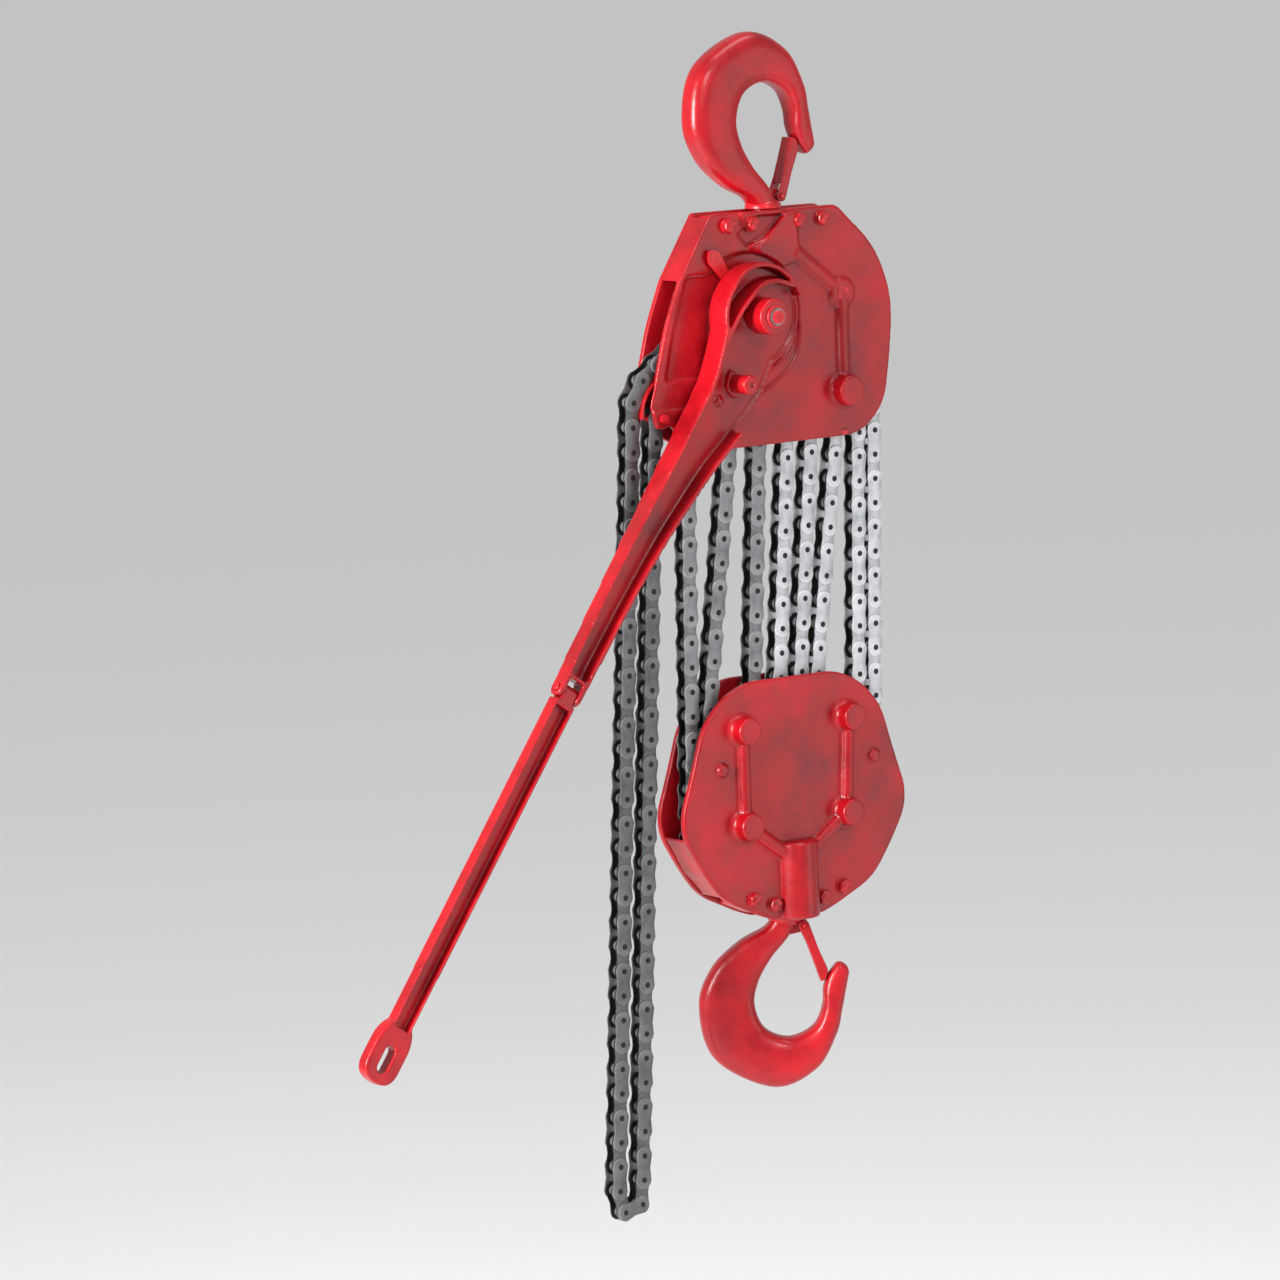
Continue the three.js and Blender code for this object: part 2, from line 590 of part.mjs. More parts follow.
function makeUpperBlock() {
  const front = UPPER_HALF_GAP + UPPER_PLATE;
  const z = (depth) => UPPER_TOP - depth;
  const plateShape = hangingShape(UPPER_OUTLINE, UPPER_TOP);
  const boltHoles = UPPER_BOLTS.map(([x, d]) => bar(x, z(d), BOLT_RADIUS + SEAT_GAP, -60, 60, 12));
  const pins = [
    ['upper_large_sheave_pin', LARGE_RIGHT, PIN_RADIUS, -front - FLUSH_BOSS_HEIGHT],
    ['upper_right_sheave_pin', SMALL_RIGHT, PIN_RADIUS, -front - BOSS_HEIGHT + BOSS_FLOOR + SEAT_GAP],
    ['upper_left_sheave_pin', SMALL_LEFT, PIN_RADIUS, -front],
    ['dead_end_pin', DEAD_END, ANCHOR_PIN_RADIUS, -front],
    ['slack_anchor_pin', SLACK_ANCHOR, ANCHOR_PIN_RADIUS, -front - 4],
  ];
  const pinHoles = pins.map(([, [x, d], r, start]) => bar(x, z(d), r + SEAT_GAP, start - SEAT_GAP, 60));
  const shaftHole = bar(HUB_X, z(HUB_DEPTH), SHAFT_RADIUS + RUN_GAP, -60, 60, 24);
  const recess = slab(new THREE.Shape().absarc(HUB_X, z(HUB_DEPTH), RECESS_RADIUS, 0, 2 * Math.PI),
    -60, -FLOOR_FRONT, 14);
  const leftRecess = slab(hangingShape(LEFT_RECESS, UPPER_TOP), -60, -FLOOR_FRONT);
  const floorShape = slab(plateShape, -FLOOR_FRONT, -FLOOR_BACK);
  const floorZone = carve([
    slab(new THREE.Shape().absarc(HUB_X, z(HUB_DEPTH), RECESS_RADIUS + 4, 0, 2 * Math.PI),
      -FLOOR_FRONT - 1, -FLOOR_BACK + 1, 14),
    block(-220, HUB_X, -FLOOR_FRONT - 1, -FLOOR_BACK + 1, z(RECESS_BOTTOM + 4), z(RECESS_TOP - 4)),
  ]);
  const floor = toGeometry(toSolid(floorShape).intersect(toSolid(floorZone)));
  const chamfer = wallStrip([[-84, z(4)], [-122, z(66)]], CHAMFER_WALL, -front, UPPER_HALF_GAP - SEAT_GAP);
  const boss = bar(SMALL_RIGHT[0], z(SMALL_RIGHT[1]), BOSS_RADIUS + 1.5, -front - BOSS_HEIGHT, -front, 24);
  const flush = bar(LARGE_RIGHT[0], z(LARGE_RIGHT[1]), BOSS_RADIUS, -front - FLUSH_BOSS_HEIGHT, -front, 24);
  const ribs = [
    rib([LARGE_RIGHT[0], z(LARGE_RIGHT[1])], [SMALL_RIGHT[0], z(SMALL_RIGHT[1])],
      RIB_WIDTH, -front - RIB_HEIGHT * 0.6, -front + 1),
    rib([24, z(44)], [LARGE_RIGHT[0], z(LARGE_RIGHT[1])], RIB_WIDTH, -front - 3, -front + 1),
    slab(easedShape([[-4, z(6), 3], [16, z(6), 3], [22, z(40), 4], [30, z(50), 6], [6, z(54), 6],
      [-12, z(42), 4]]), -front - 3, -front + 1),
  ];
  addPiece('upper_front_frame', carve(
    [slab(plateShape, -front, -UPPER_HALF_GAP), floor, chamfer, boss, flush, ...ribs],
    [recess, leftRecess, shaftHole, ...boltHoles, ...pinHoles,
      bar(...pawlPivot(), PAWL_PIN_RADIUS + SEAT_GAP, -60, -5, 14)],
  ), RED_PAINT);
  addPiece('upper_back_frame', carve(
    [slab(plateShape, UPPER_HALF_GAP, front),
      bar(HUB_X, z(HUB_DEPTH), SHAFT_RADIUS + 11, UPPER_HALF_GAP, front + BACK_BOSS, 24)],
    [shaftHole, ...boltHoles, ...pinHoles],
  ), RED_PAINT);
  const side = UPPER_HALF_GAP - SEAT_GAP;
  addPiece('upper_yoke', carve(
    [block(-UPPER_YOKE_HALF, UPPER_YOKE_HALF, -side, side,
      z(UPPER_YOKE_TOP + UPPER_YOKE_HEIGHT), z(UPPER_YOKE_TOP))],
    [...boltHoles, post(UPPER_SHANK_RADIUS + SEAT_GAP, z(60), z(-10))],
  ), RED_PAINT);
  makeBolts('upper', UPPER_BOLTS, UPPER_TOP, UPPER_HALF_GAP, UPPER_PLATE);
  for (const [name, [x, d], radius, start] of pins) {
    addPiece(name, bar(x, z(d), radius, start, front), name === 'slack_anchor_pin' ? RED_PAINT : DARK_STEEL);
  }
}

function makeLowerBlock() {
  const front = LOWER_HALF_GAP + LOWER_PLATE;
  const z = (depth) => LOWER_TOP - depth;
  const plateShape = hangingShape(LOWER_OUTLINE, LOWER_TOP);
  const boltHoles = LOWER_BOLTS.map(([x, d]) => bar(x, z(d), BOLT_RADIUS + SEAT_GAP, -60, 60, 12));
  const bosses = [];
  const ribs = [];
  const pinHoles = [];
  const walls = [];
  const bossFloor = -front - BOSS_HEIGHT + BOSS_FLOOR;
  const sides = [
    ['left', -1, LOWER_LEFT_SMALL, LOWER_LEFT_LARGE],
    ['right', 1, LOWER_RIGHT_SMALL, LOWER_RIGHT_LARGE],
  ];
  for (const [word, side, small, large] of sides) {
    for (const [row, [x, depth]] of [['small', small], ['large', large]]) {
      bosses.push(bar(x, z(depth), BOSS_RADIUS, -front - BOSS_HEIGHT, -front + 1));
      pinHoles.push(bar(x, z(depth), PIN_RADIUS + SEAT_GAP, bossFloor, 60));
      addPiece(`lower_${word}_${row}_sheave_pin`,
        bar(x, z(depth), PIN_RADIUS, bossFloor + SEAT_GAP, front), DARK_STEEL);
    }
    const upperEnd = [small[0], z(small[1])];
    const lowerEnd = [large[0], z(large[1])];
    ribs.push(
      rib(upperEnd, lowerEnd, RIB_WIDTH, -front - RIB_HEIGHT, -front + 1),
      rib(lowerEnd, [0, z(BARREL_TOP + 26)], RIB_WIDTH, -front - RIB_HEIGHT, -front + 1),
    );
    const edge = [[side * 140, z(157)], [side * 118, z(195.5)], [side * 94, z(222.5)]];
    walls.push(wallStrip(edge, side * -LOWER_WALL, -front + 1, LOWER_HALF_GAP - SEAT_GAP));
  }
  const barrel = toGeometry(toSolid(post(BARREL_RADIUS, z(LOWER_HEIGHT), z(BARREL_TOP), -front + 3))
    .subtract(toSolid(block(-50, 50, -front + 2, 60, z(LOWER_HEIGHT + 5), z(BARREL_TOP - 5)))));
  addPiece('lower_front_frame', carve(
    [slab(plateShape, -front, -LOWER_HALF_GAP), ...bosses, ...ribs, barrel, ...walls],
    [...boltHoles, ...pinHoles],
  ), RED_PAINT);
  addPiece('lower_back_frame', carve(
    [slab(plateShape, LOWER_HALF_GAP, front)], [...boltHoles, ...pinHoles],
  ), RED_PAINT);
  const side = LOWER_HALF_GAP - SEAT_GAP;
  const yokeShape = easedShape([
    [-72, z(LOWER_YOKE_TOP), 3], [72, z(LOWER_YOKE_TOP), 3], [72, z(234), 3], [46, z(246), 3],
    [-46, z(246), 3], [-72, z(234), 3],
  ]);
  addPiece('lower_yoke', carve(
    [slab(yokeShape, -side, side)],
    [...boltHoles, post(LOWER_SHANK_RADIUS + SEAT_GAP, z(LOWER_HEIGHT + 10), z(LOWER_YOKE_TOP - 10))],
  ), RED_PAINT);
  makeBolts('lower', LOWER_BOLTS, LOWER_TOP, LOWER_HALF_GAP, LOWER_PLATE);
}

// ---- ratchet drive ---------------------------------------------------------------------------------------------

/** X and Z of the holding pawl's pivot. */
function pawlPivot() {
  return [HOLD_PAWL_PIVOT[0], UPPER_TOP - HOLD_PAWL_PIVOT[1]];
}

/** Pawl from a pivot to a tip that stops just clear of the ratchet teeth, both in the X Z plane. */
function pawlSolid([x, z], [tipX, tipZ], boreRadius, yFront) {
  const length = Math.hypot(tipX - x, tipZ - z);
  const along = [(tipX - x) / length, (tipZ - z) / length];
  const across = [-along[1], along[0]];
  const place = (s, t) => [x + along[0] * s + across[0] * t, z + along[1] * s + across[1] * t];
  const shape = easedShape([
    [...place(-9, 0), 5], [...place(0, 9), 6], [...place(length - 3, 5), 1], [...place(length, 0), 0],
    [...place(length - 4, -5), 2], [...place(0, -9), 6],
  ]);
  return carve([slab(shape, yFront, yFront + PAWL_THICK)], [bar(x, z, boreRadius, -60, 60, 14)]);
}

function makeDrive() {
  const load = WHEELS.load;
  const side = UPPER_HALF_GAP - SEAT_GAP;
  const ratchetBack = -FLOOR_FRONT - SEAT_GAP;
  const ratchetFront = -LEVER_BACK + SEAT_GAP;
  const nutFront = UPPER_HALF_GAP + UPPER_PLATE + BACK_BOSS + SEAT_GAP;
  const shaftBack = nutFront + SHAFT_NUT + 2;
  const teeth = slab(wheelShape(load, LOAD_TEETH), -TOOTH_HALF_WIDTH, TOOTH_HALF_WIDTH);
  const core = bar(0, 0, load.r - LINK_HALF_HEIGHT - 1.4, -FLOOR_BACK + SEAT_GAP, side, 24);
  const shaft = bar(0, 0, SHAFT_RADIUS, -HUB_FRONT - 4, shaftBack, 20);
  const sprocket = carve([teeth, core, shaft]);
  sprocket.translate(load.x, 0, load.z);
  addPiece('load_sprocket', sprocket, DARK_STEEL);
  const outline = [];
  for (let i = 0; i < RATCHET_TEETH; i += 1) {
    const start = 2 * Math.PI * i / RATCHET_TEETH;
    const end = 2 * Math.PI * (i + 0.94) / RATCHET_TEETH;
    outline.push([RATCHET_ROOT * Math.cos(start), RATCHET_ROOT * Math.sin(start)]);
    outline.push([RATCHET_RADIUS * Math.cos(end), RATCHET_RADIUS * Math.sin(end)]);
  }
  const ratchet = carve([slab(easedShape(outline), ratchetFront, ratchetBack)],
    [bar(0, 0, SHAFT_RADIUS + SEAT_GAP, -60, 60)]);
  ratchet.translate(load.x, 0, load.z);
  addPiece('ratchet_wheel', ratchet, DARK_STEEL);
  const nut = new THREE.CylinderGeometry(SHAFT_RADIUS + 4, SHAFT_RADIUS + 4, SHAFT_NUT, 6);
  nut.translate(load.x, nutFront + SHAFT_NUT / 2, load.z);
  addPiece('shaft_nut', carve([nut], [bar(load.x, load.z, SHAFT_RADIUS + SEAT_GAP, -60, 60)]), DARK_STEEL);
  const [px, pz] = pawlPivot();
  const away = Math.hypot(px - load.x, pz - load.z);
  const toWheel = [(load.x - px) / away, (load.z - pz) / away];
  const reach = away - RATCHET_RADIUS - RUN_GAP;
  const pawlFront = -UPPER_HALF_GAP - UPPER_PLATE - SEAT_GAP - PAWL_THICK;
  addPiece('holding_pawl', pawlSolid([px, pz], [px + toWheel[0] * reach, pz + toWheel[1] * reach],
    PAWL_PIN_RADIUS + SEAT_GAP, pawlFront), DARK_STEEL);
  addPiece('holding_pawl_pin', bar(px, pz, PAWL_PIN_RADIUS, pawlFront, -UPPER_HALF_GAP, 14), DARK_STEEL);
}

// ---- lever ----------------------------------------------------------------------------------------------------

/** Outline of the lever's head and upper arm, from the knuckle up one side, round and down the other. */
function leverOutline() {
  const leave = THREE.MathUtils.degToRad(-48);
  const head = arcPoints({ x: 0, z: 0, r: HEAD_RADIUS }, leave, Math.PI - leave, 22);
  return [
    [UPPER_ARM_HALF, -KNUCKLE_AT + 14], ...RIGHT_EDGE, ...head,
    [-NECK_HALF, -NECK_AT], [-UPPER_ARM_HALF, -KNUCKLE_AT + 14],
  ];
}

function makeLever() {
  const lever = new THREE.Group();
  lever.position.set(WHEELS.load.x, 0, WHEELS.load.z);
  lever.rotation.y = THREE.MathUtils.degToRad(LEVER_LEAN);
  hoist.add(lever);
  const yBack = -LEVER_BACK;
  const yWeb = yBack - LEVER_WEB;
  const yFront = yBack - LEVER_UPPER_DEPTH;
  const pinY = (yBack + yFront) / 2;
  const outline = leverOutline();
  const pocketOutline = offsetLine(outline, LEVER_RIM, true);
  const pocket = slab(easedShape(pocketOutline), yFront - 1, yWeb);
  const ear = (xLow, xHigh) => {
    const shape = new THREE.Shape();
    shape.moveTo(pinY + KNUCKLE_RADIUS, -KNUCKLE_AT + 16);
    shape.lineTo(pinY - KNUCKLE_RADIUS, -KNUCKLE_AT + 16);
    shape.absarc(pinY, -KNUCKLE_AT, KNUCKLE_RADIUS, Math.PI, 2 * Math.PI);
    const geometry = new THREE.ExtrudeGeometry(shape, {
      depth: xHigh - xLow, bevelEnabled: false, curveSegments: 8,
    });
    geometry.applyMatrix4(new THREE.Matrix4().set(0, 0, 1, xLow, 1, 0, 0, 0, 0, 1, 0, 0, 0, 0, 0, 1));
    return geometry;
  };
  const crossBar = (radius, half, z) => {
    const geometry = new THREE.CylinderGeometry(radius, radius, 2 * half, 16);
    geometry.rotateZ(Math.PI / 2);
    geometry.translate(0, pinY, z);
    return geometry;
  };
  const earInner = TONGUE_HALF + SEAT_GAP;
  const tongueRoom = block(-earInner, earInner, -70, 0, -KNUCKLE_AT, -KNUCKLE_AT + KNUCKLE_RADIUS + 3);
  const [knobX, knobZ] = KNOB_PLACE;
  addPiece('lever_head', carve([
    carve([slab(easedShape(outline), yFront, yBack)], [pocket, tongueRoom]),
    bar(0, 0, HUB_RADIUS, -HUB_FRONT, yBack, 24),
    slab(easedShape([[knobX - 13, knobZ + 6, 6], [knobX - 6, knobZ - 13, 8], [knobX + 12, knobZ - 12, 8],
      [knobX + 13, knobZ + 10, 6]]), yWeb - KNOB_LIFT + SEAT_GAP, yBack),
    ear(earInner, UPPER_ARM_HALF), ear(-UPPER_ARM_HALF, -earInner),
  ], [
    bar(0, 0, SHAFT_RADIUS + SEAT_GAP, -90, 0, 20),
    bar(knobX, knobZ, KNOB_STEM_RADIUS + SEAT_GAP, -90, 0, 16),
    crossBar(FOLD_PIN_RADIUS + SEAT_GAP, 40, -KNUCKLE_AT),
  ]), RED_PAINT, lever);
  addPiece('lever_fold_pin', crossBar(FOLD_PIN_RADIUS, UPPER_ARM_HALF, -KNUCKLE_AT), DARK_STEEL, lever);
  const knobBack = yWeb - KNOB_LIFT;
  addPiece('pawl_knob', carve([
    bar(knobX, knobZ, KNOB_RADIUS, knobBack - KNOB_LENGTH + KNOB_LIFT, knobBack),
    bar(knobX, knobZ, KNOB_STEM_RADIUS, knobBack - 1, yBack + PAWL_THICK, 16),
  ]), RED_PAINT, lever);
  const away = Math.hypot(knobX, knobZ);
  const reach = (away - RATCHET_RADIUS - RUN_GAP) / away;
  addPiece('driving_pawl', pawlSolid(KNOB_PLACE, [knobX * (1 - reach), knobZ * (1 - reach)],
    KNOB_STEM_RADIUS + SEAT_GAP, yBack + SEAT_GAP), DARK_STEEL, lever);
  const armFront = pinY - LEVER_LOWER_DEPTH / 2;
  const armBack = armFront + LEVER_LOWER_DEPTH;
  const armTop = -KNUCKLE_AT - KNUCKLE_RADIUS - 1.2;
  const gripTop = -GRIP_AT + GRIP_END;
  const armOutline = [[-LOWER_ARM_HALF, armTop], [-LOWER_ARM_HALF, gripTop + 8],
    [LOWER_ARM_HALF, gripTop + 8], [LOWER_ARM_HALF, armTop]];
  const armPocket = offsetLine(armOutline, LEVER_RIM - 1, true);
  const tongue = toGeometry(toSolid(ear(-TONGUE_HALF, TONGUE_HALF))
    .intersect(toSolid(block(-20, 20, armFront, armBack, -KNUCKLE_AT - 20, -KNUCKLE_AT + 9))));
  const roundTongue = toGeometry(toSolid(tongue).subtract(toSolid(carve(
    [block(-20, 20, -60, 0, -KNUCKLE_AT, -KNUCKLE_AT + 20)],
    [crossBar(KNUCKLE_RADIUS - 0.1, 30, -KNUCKLE_AT)],
  ))));
  const grip = easedShape([
    [-GRIP_HALF, gripTop - 4, 14], [-GRIP_HALF, -GRIP_AT - GRIP_END, 20],
    [GRIP_HALF, -GRIP_AT - GRIP_END, 20], [GRIP_HALF, gripTop - 4, 14],
    [LOWER_ARM_HALF, gripTop + 14, 8], [-LOWER_ARM_HALF, gripTop + 14, 8],
  ]);
  const slotHalf = GRIP_SLOT_LENGTH / 2 - GRIP_SLOT_HALF;
  const slot = new THREE.Shape();
  slot.absarc(0, -GRIP_AT + slotHalf, GRIP_SLOT_HALF, 0, Math.PI);
  slot.absarc(0, -GRIP_AT - slotHalf, GRIP_SLOT_HALF, Math.PI, 2 * Math.PI);
  addPiece('lever_grip', carve([
    carve([slab(easedShape(armOutline), armFront, armBack)],
      [slab(easedShape(armPocket), armFront - 1, armBack - LEVER_WEB)]),
    slab(grip, armFront, armBack),
    roundTongue,
    block(-TONGUE_HALF, TONGUE_HALF, armFront, armBack, armTop - 6, -KNUCKLE_AT - 4),
  ], [
    slab(slot, -90, 0, 8),
    crossBar(FOLD_PIN_RADIUS + SEAT_GAP, 40, -KNUCKLE_AT),
  ]), RED_PAINT, lever);
}

// ---- assembly ---------------------------------------------------------------------------------------------------

const upperHookGroup = new THREE.Group();
hoist.add(upperHookGroup);
makeHook('upper', upperHookGroup, UPPER_SHANK_RADIUS, UPPER_YOKE_TOP + UPPER_YOKE_HEIGHT + NUT_HEIGHT + 2,
  UPPER_NUT_RADIUS, UPPER_YOKE_TOP + UPPER_YOKE_HEIGHT + SEAT_GAP);

const lowerHookGroup = new THREE.Group();
lowerHookGroup.rotation.set(Math.PI, 0, THREE.MathUtils.degToRad(LOWER_HOOK_TURN));
lowerHookGroup.position.z = LOWER_TOP - LOWER_HEIGHT - HOOK_REACH;
hoist.add(lowerHookGroup);
makeHook('lower', lowerHookGroup, LOWER_SHANK_RADIUS, LOWER_HEIGHT - LOWER_YOKE_TOP + NUT_HEIGHT + 2,
  LOWER_NUT_RADIUS, LOWER_HEIGHT - LOWER_YOKE_TOP + SEAT_GAP);

makeUpperBlock();
makeLowerBlock();
makeWheels();
makeDrive();
makeLever();
makeLeadChain();
makeSlackChain();
upperWrap('upper_left_chain', WHEELS.upperLeft, FALLS.s4, FALLS.s3);
upperWrap('upper_large_chain', WHEELS.upperLarge, FALLS.s10, FALLS.s6);
upperWrap('upper_right_chain', WHEELS.upperRight, FALLS.s9, FALLS.s7);
lowerLoop('lower_left_small_chain', FALLS.s4, WHEELS.lowerSmallLeft, FALLS.s5);
lowerLoop('lower_left_large_chain', FALLS.s3, WHEELS.lowerLargeLeft, FALLS.s6);
lowerLoop('lower_right_large_chain', FALLS.s7, WHEELS.lowerLargeRight, FALLS.s10);
lowerLoop('lower_right_small_chain', FALLS.s8, WHEELS.lowerSmallRight, FALLS.s9,
  ANCHOR_PIN_RADIUS + SEAT_GAP);

export default hoist;
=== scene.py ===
"""Ratchet lever chain hoist: castings, forged hooks, roller chain and lever, dressed around its CAD frame.

Shapes are worked out in millimetres, +Z up, front of the hoist towards -Y, and turned into metres when
they become meshes.
"""

from __future__ import annotations

import json
import logging
import math
from dataclasses import dataclass, field
from enum import Enum

import bmesh
import bpy
import numpy as np
from mathutils import Matrix, Vector

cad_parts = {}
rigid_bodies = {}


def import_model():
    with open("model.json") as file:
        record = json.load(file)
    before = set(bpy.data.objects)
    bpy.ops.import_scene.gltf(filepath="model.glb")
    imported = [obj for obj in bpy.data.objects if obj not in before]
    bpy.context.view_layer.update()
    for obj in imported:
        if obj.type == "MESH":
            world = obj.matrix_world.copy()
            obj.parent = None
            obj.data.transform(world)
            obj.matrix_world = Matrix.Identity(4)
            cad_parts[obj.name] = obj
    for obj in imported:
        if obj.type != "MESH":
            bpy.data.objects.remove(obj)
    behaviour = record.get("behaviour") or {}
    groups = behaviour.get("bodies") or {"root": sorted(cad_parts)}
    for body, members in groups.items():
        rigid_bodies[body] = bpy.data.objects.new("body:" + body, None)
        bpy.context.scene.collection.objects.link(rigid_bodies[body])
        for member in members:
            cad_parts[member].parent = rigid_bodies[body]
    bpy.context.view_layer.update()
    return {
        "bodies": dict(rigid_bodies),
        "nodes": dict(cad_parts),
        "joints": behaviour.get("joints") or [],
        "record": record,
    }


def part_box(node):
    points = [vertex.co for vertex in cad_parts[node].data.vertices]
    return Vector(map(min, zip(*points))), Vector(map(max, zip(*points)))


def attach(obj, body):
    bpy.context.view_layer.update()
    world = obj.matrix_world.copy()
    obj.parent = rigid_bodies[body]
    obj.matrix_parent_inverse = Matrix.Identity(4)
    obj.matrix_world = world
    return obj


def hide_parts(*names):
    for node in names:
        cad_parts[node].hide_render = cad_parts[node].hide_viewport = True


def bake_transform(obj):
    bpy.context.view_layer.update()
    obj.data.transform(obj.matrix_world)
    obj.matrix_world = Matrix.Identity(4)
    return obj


LOG = logging.getLogger("hoist")
# Metres in a millimetre.
MM = 0.001
# The lower hook's turn on its swivel, in degrees.
LOWER_HOOK_TURN = 30.0
# Height of a hook's crown over its saddle, in mm.
HOOK_CROWN = 53.0


# ---- surfaces as arrays --------------------------------------------------------------------------


@dataclass
class Shell:
    """A closed surface: points (N, 3) in mm and faces as lists of point indices."""

    points: np.ndarray
    faces: list[list[int]] = field(default_factory=list)

    def moved(self, matrix: np.ndarray) -> Shell:
        """Returns the shell carried by a 4 x 4 matrix."""
        points = self.points @ matrix[:3, :3].T + matrix[:3, 3]
        return Shell(points, self.faces)


def joined(shells: list[Shell]) -> Shell:
    """Returns one shell that holds every face of the given ones.

    Args:
        shells: Shells to hold together; they may overlap.

    Returns:
        One shell with all their faces, renumbered.
    """
    faces: list[list[int]] = []
    start = 0
    for shell in shells:
        faces += [[i + start for i in face] for face in shell.faces]
        start += len(shell.points)
    return Shell(np.concatenate([shell.points for shell in shells]), faces)


def ring_faces(rings: int, around: int) -> list[list[int]]:
    """Quads between successive closed rings of points.

    Args:
        rings: Number of rings.
        around: Points in each ring.

    Returns:
        Faces (u, v), (u, v + 1), (u + 1, v + 1), (u + 1, v), with v counted round the ring.
    """
    u, v = np.meshgrid(np.arange(rings - 1), np.arange(around), indexing="ij")
    w = (v + 1) % around
    quads = np.stack([u * around + v, u * around + w, (u + 1) * around + w, (u + 1) * around + v], axis=-1)
    return quads.reshape(-1, 4).tolist()


def tube(rings: np.ndarray) -> Shell:
    """Closed skin over rings of points (U, V, 3); both ends are closed by one face.

    Args:
        rings: U rings of V points, as an array (U, V, 3).

    Returns:
        Quads between the rings and one face on each end.
    """
    count, around = rings.shape[:2]
    faces = ring_faces(count, around)
    faces.append(list(range(around))[::-1])
    faces.append([(count - 1) * around + i for i in range(around)])
    return Shell(rings.reshape(-1, 3).astype(float), faces)


def turned(profile: list[tuple[float, float]], x: float, z: float, sides: int = 48) -> Shell:
    """Surface of revolution about a line along Y.

    Args:
        profile: (radius, y) pairs from the back end to the front end, in mm.
        x: X of the line.
        z: Z of the line.
        sides: Points round each ring.

    Returns:
        A closed shell: point = (x + r cos a, y, z + r sin a).
    """
    shape = np.array(profile, dtype=float)
    angle = np.linspace(0, 2 * math.pi, sides, endpoint=False)
    radius = np.maximum(shape[:, :1], 0.01)
    rings = np.stack([
        x + radius * np.cos(angle), np.repeat(shape[:, 1:], sides, axis=1), z + radius * np.sin(angle),
    ], axis=-1)
    return tube(rings)


def fillet_boss(radius: float, base: float, top: float, fillet: float = 5.0, round_top: float = 2.5,
                buried: float = 2.0) -> list[tuple[float, float]]:
    """Profile of a cast boss that flares into its plate and has an eased top.

    The flare is a quarter circle of the fillet's radius, and the top edge a quarter circle too.

    Args:
        radius: Radius of the boss.
        base: Y of the plate's face.
        top: Y of the boss's face, in front of the base.
        fillet: Radius of the flare.
        round_top: Radius of the top edge.
        buried: How far the boss reaches into its plate.

    Returns:
        (radius, y) pairs for turned().
    """
    turn = np.linspace(0, math.pi / 2, 7)
    flare = [(radius + fillet * (1 - math.sin(a)), base - fillet * (1 - math.cos(a))) for a in turn]
    crown = [(radius - round_top * (1 - math.cos(a)), top + round_top * (1 - math.sin(a))) for a in turn]
    return [(0, base + buried), (radius + fillet, base + buried), *flare, *crown, (0, top)]


def eased_outline(points: list[tuple[float, float, float]], steps: int = 10) -> np.ndarray:
    """Closed outline from (x, z, ease) corners.

    Each corner is a quadratic curve that starts and ends at the ease distance along its two sides, or at
    49% of a shorter side.

    Args:
        points: The corners, each with its ease distance.
        steps: Points on each corner's curve.

    Returns:
        Points (N, 2) without doubles.
    """
    corners = np.array(points, dtype=float)
    here = corners[:, :2]
    before = np.roll(here, 1, axis=0) - here
    after = np.roll(here, -1, axis=0) - here
    long_before = np.linalg.norm(before, axis=1, keepdims=True)
    long_after = np.linalg.norm(after, axis=1, keepdims=True)
    ease = np.minimum(corners[:, 2:], 0.49 * np.minimum(long_before, long_after))
    start = here + before / long_before * ease
    end = here + after / long_after * ease
    t = np.linspace(0, 1, steps)[None, :, None]
    curve = (1 - t) ** 2 * start[:, None] + 2 * t * (1 - t) * here[:, None] + t ** 2 * end[:, None]
    flat = curve.reshape(-1, 2)
    keep = np.linalg.norm(flat - np.roll(flat, 1, axis=0), axis=1) > 1e-3
    return flat[keep]


def inset_outline(outline: np.ndarray, distance: float) -> np.ndarray:
    """Moves each point of a closed outline inwards along the mean normal of its two sides.

    Args:
        outline: Points (N, 2), either way round.
        distance: How far they move.

    Returns:
        The smaller outline, point for point.
    """
    ahead = np.roll(outline, -1, axis=0) - outline
    behind = outline - np.roll(outline, 1, axis=0)
    ahead /= np.linalg.norm(ahead, axis=1, keepdims=True)
    behind /= np.linalg.norm(behind, axis=1, keepdims=True)
    along = ahead + behind
    along /= np.maximum(np.linalg.norm(along, axis=1, keepdims=True), 1e-6)
    area = np.sum(outline[:, 0] * np.roll(outline[:, 1], -1) - outline[:, 1] * np.roll(outline[:, 0], -1))
    side = math.copysign(1.0, area)
    return outline + side * distance * np.stack([-along[:, 1], along[:, 0]], axis=1)


def slab(outline: np.ndarray, y_front: float, y_back: float, ease: float = 0.0) -> Shell:
    """Plate with the given outline in X and Z, its edges eased by a quarter circle.

    Args:
        outline: Points (N, 2) in X and Z.
        y_front: Y of the front face.
        y_back: Y of the back face.
        ease: Radius of the edges; 0 leaves them sharp.

    Returns:
        A closed shell of rings from front to back.
    """
    if ease <= 0:
        steps = [(0.0, y_front), (0.0, y_back)]
    else:
        turn = np.linspace(math.pi / 2, 0, 5)
        front = [(ease * (1 - math.cos(a)), y_front + ease * (1 - math.sin(a))) for a in turn]
        steps = front + [(inset, y_front + y_back - y) for inset, y in front[::-1]]
    rings = []
    for inset, y in steps:
        loop = inset_outline(outline, inset) if inset > 0 else outline
        rings.append(np.stack([loop[:, 0], np.full(len(loop), y), loop[:, 1]], axis=1))
    return tube(np.array(rings))


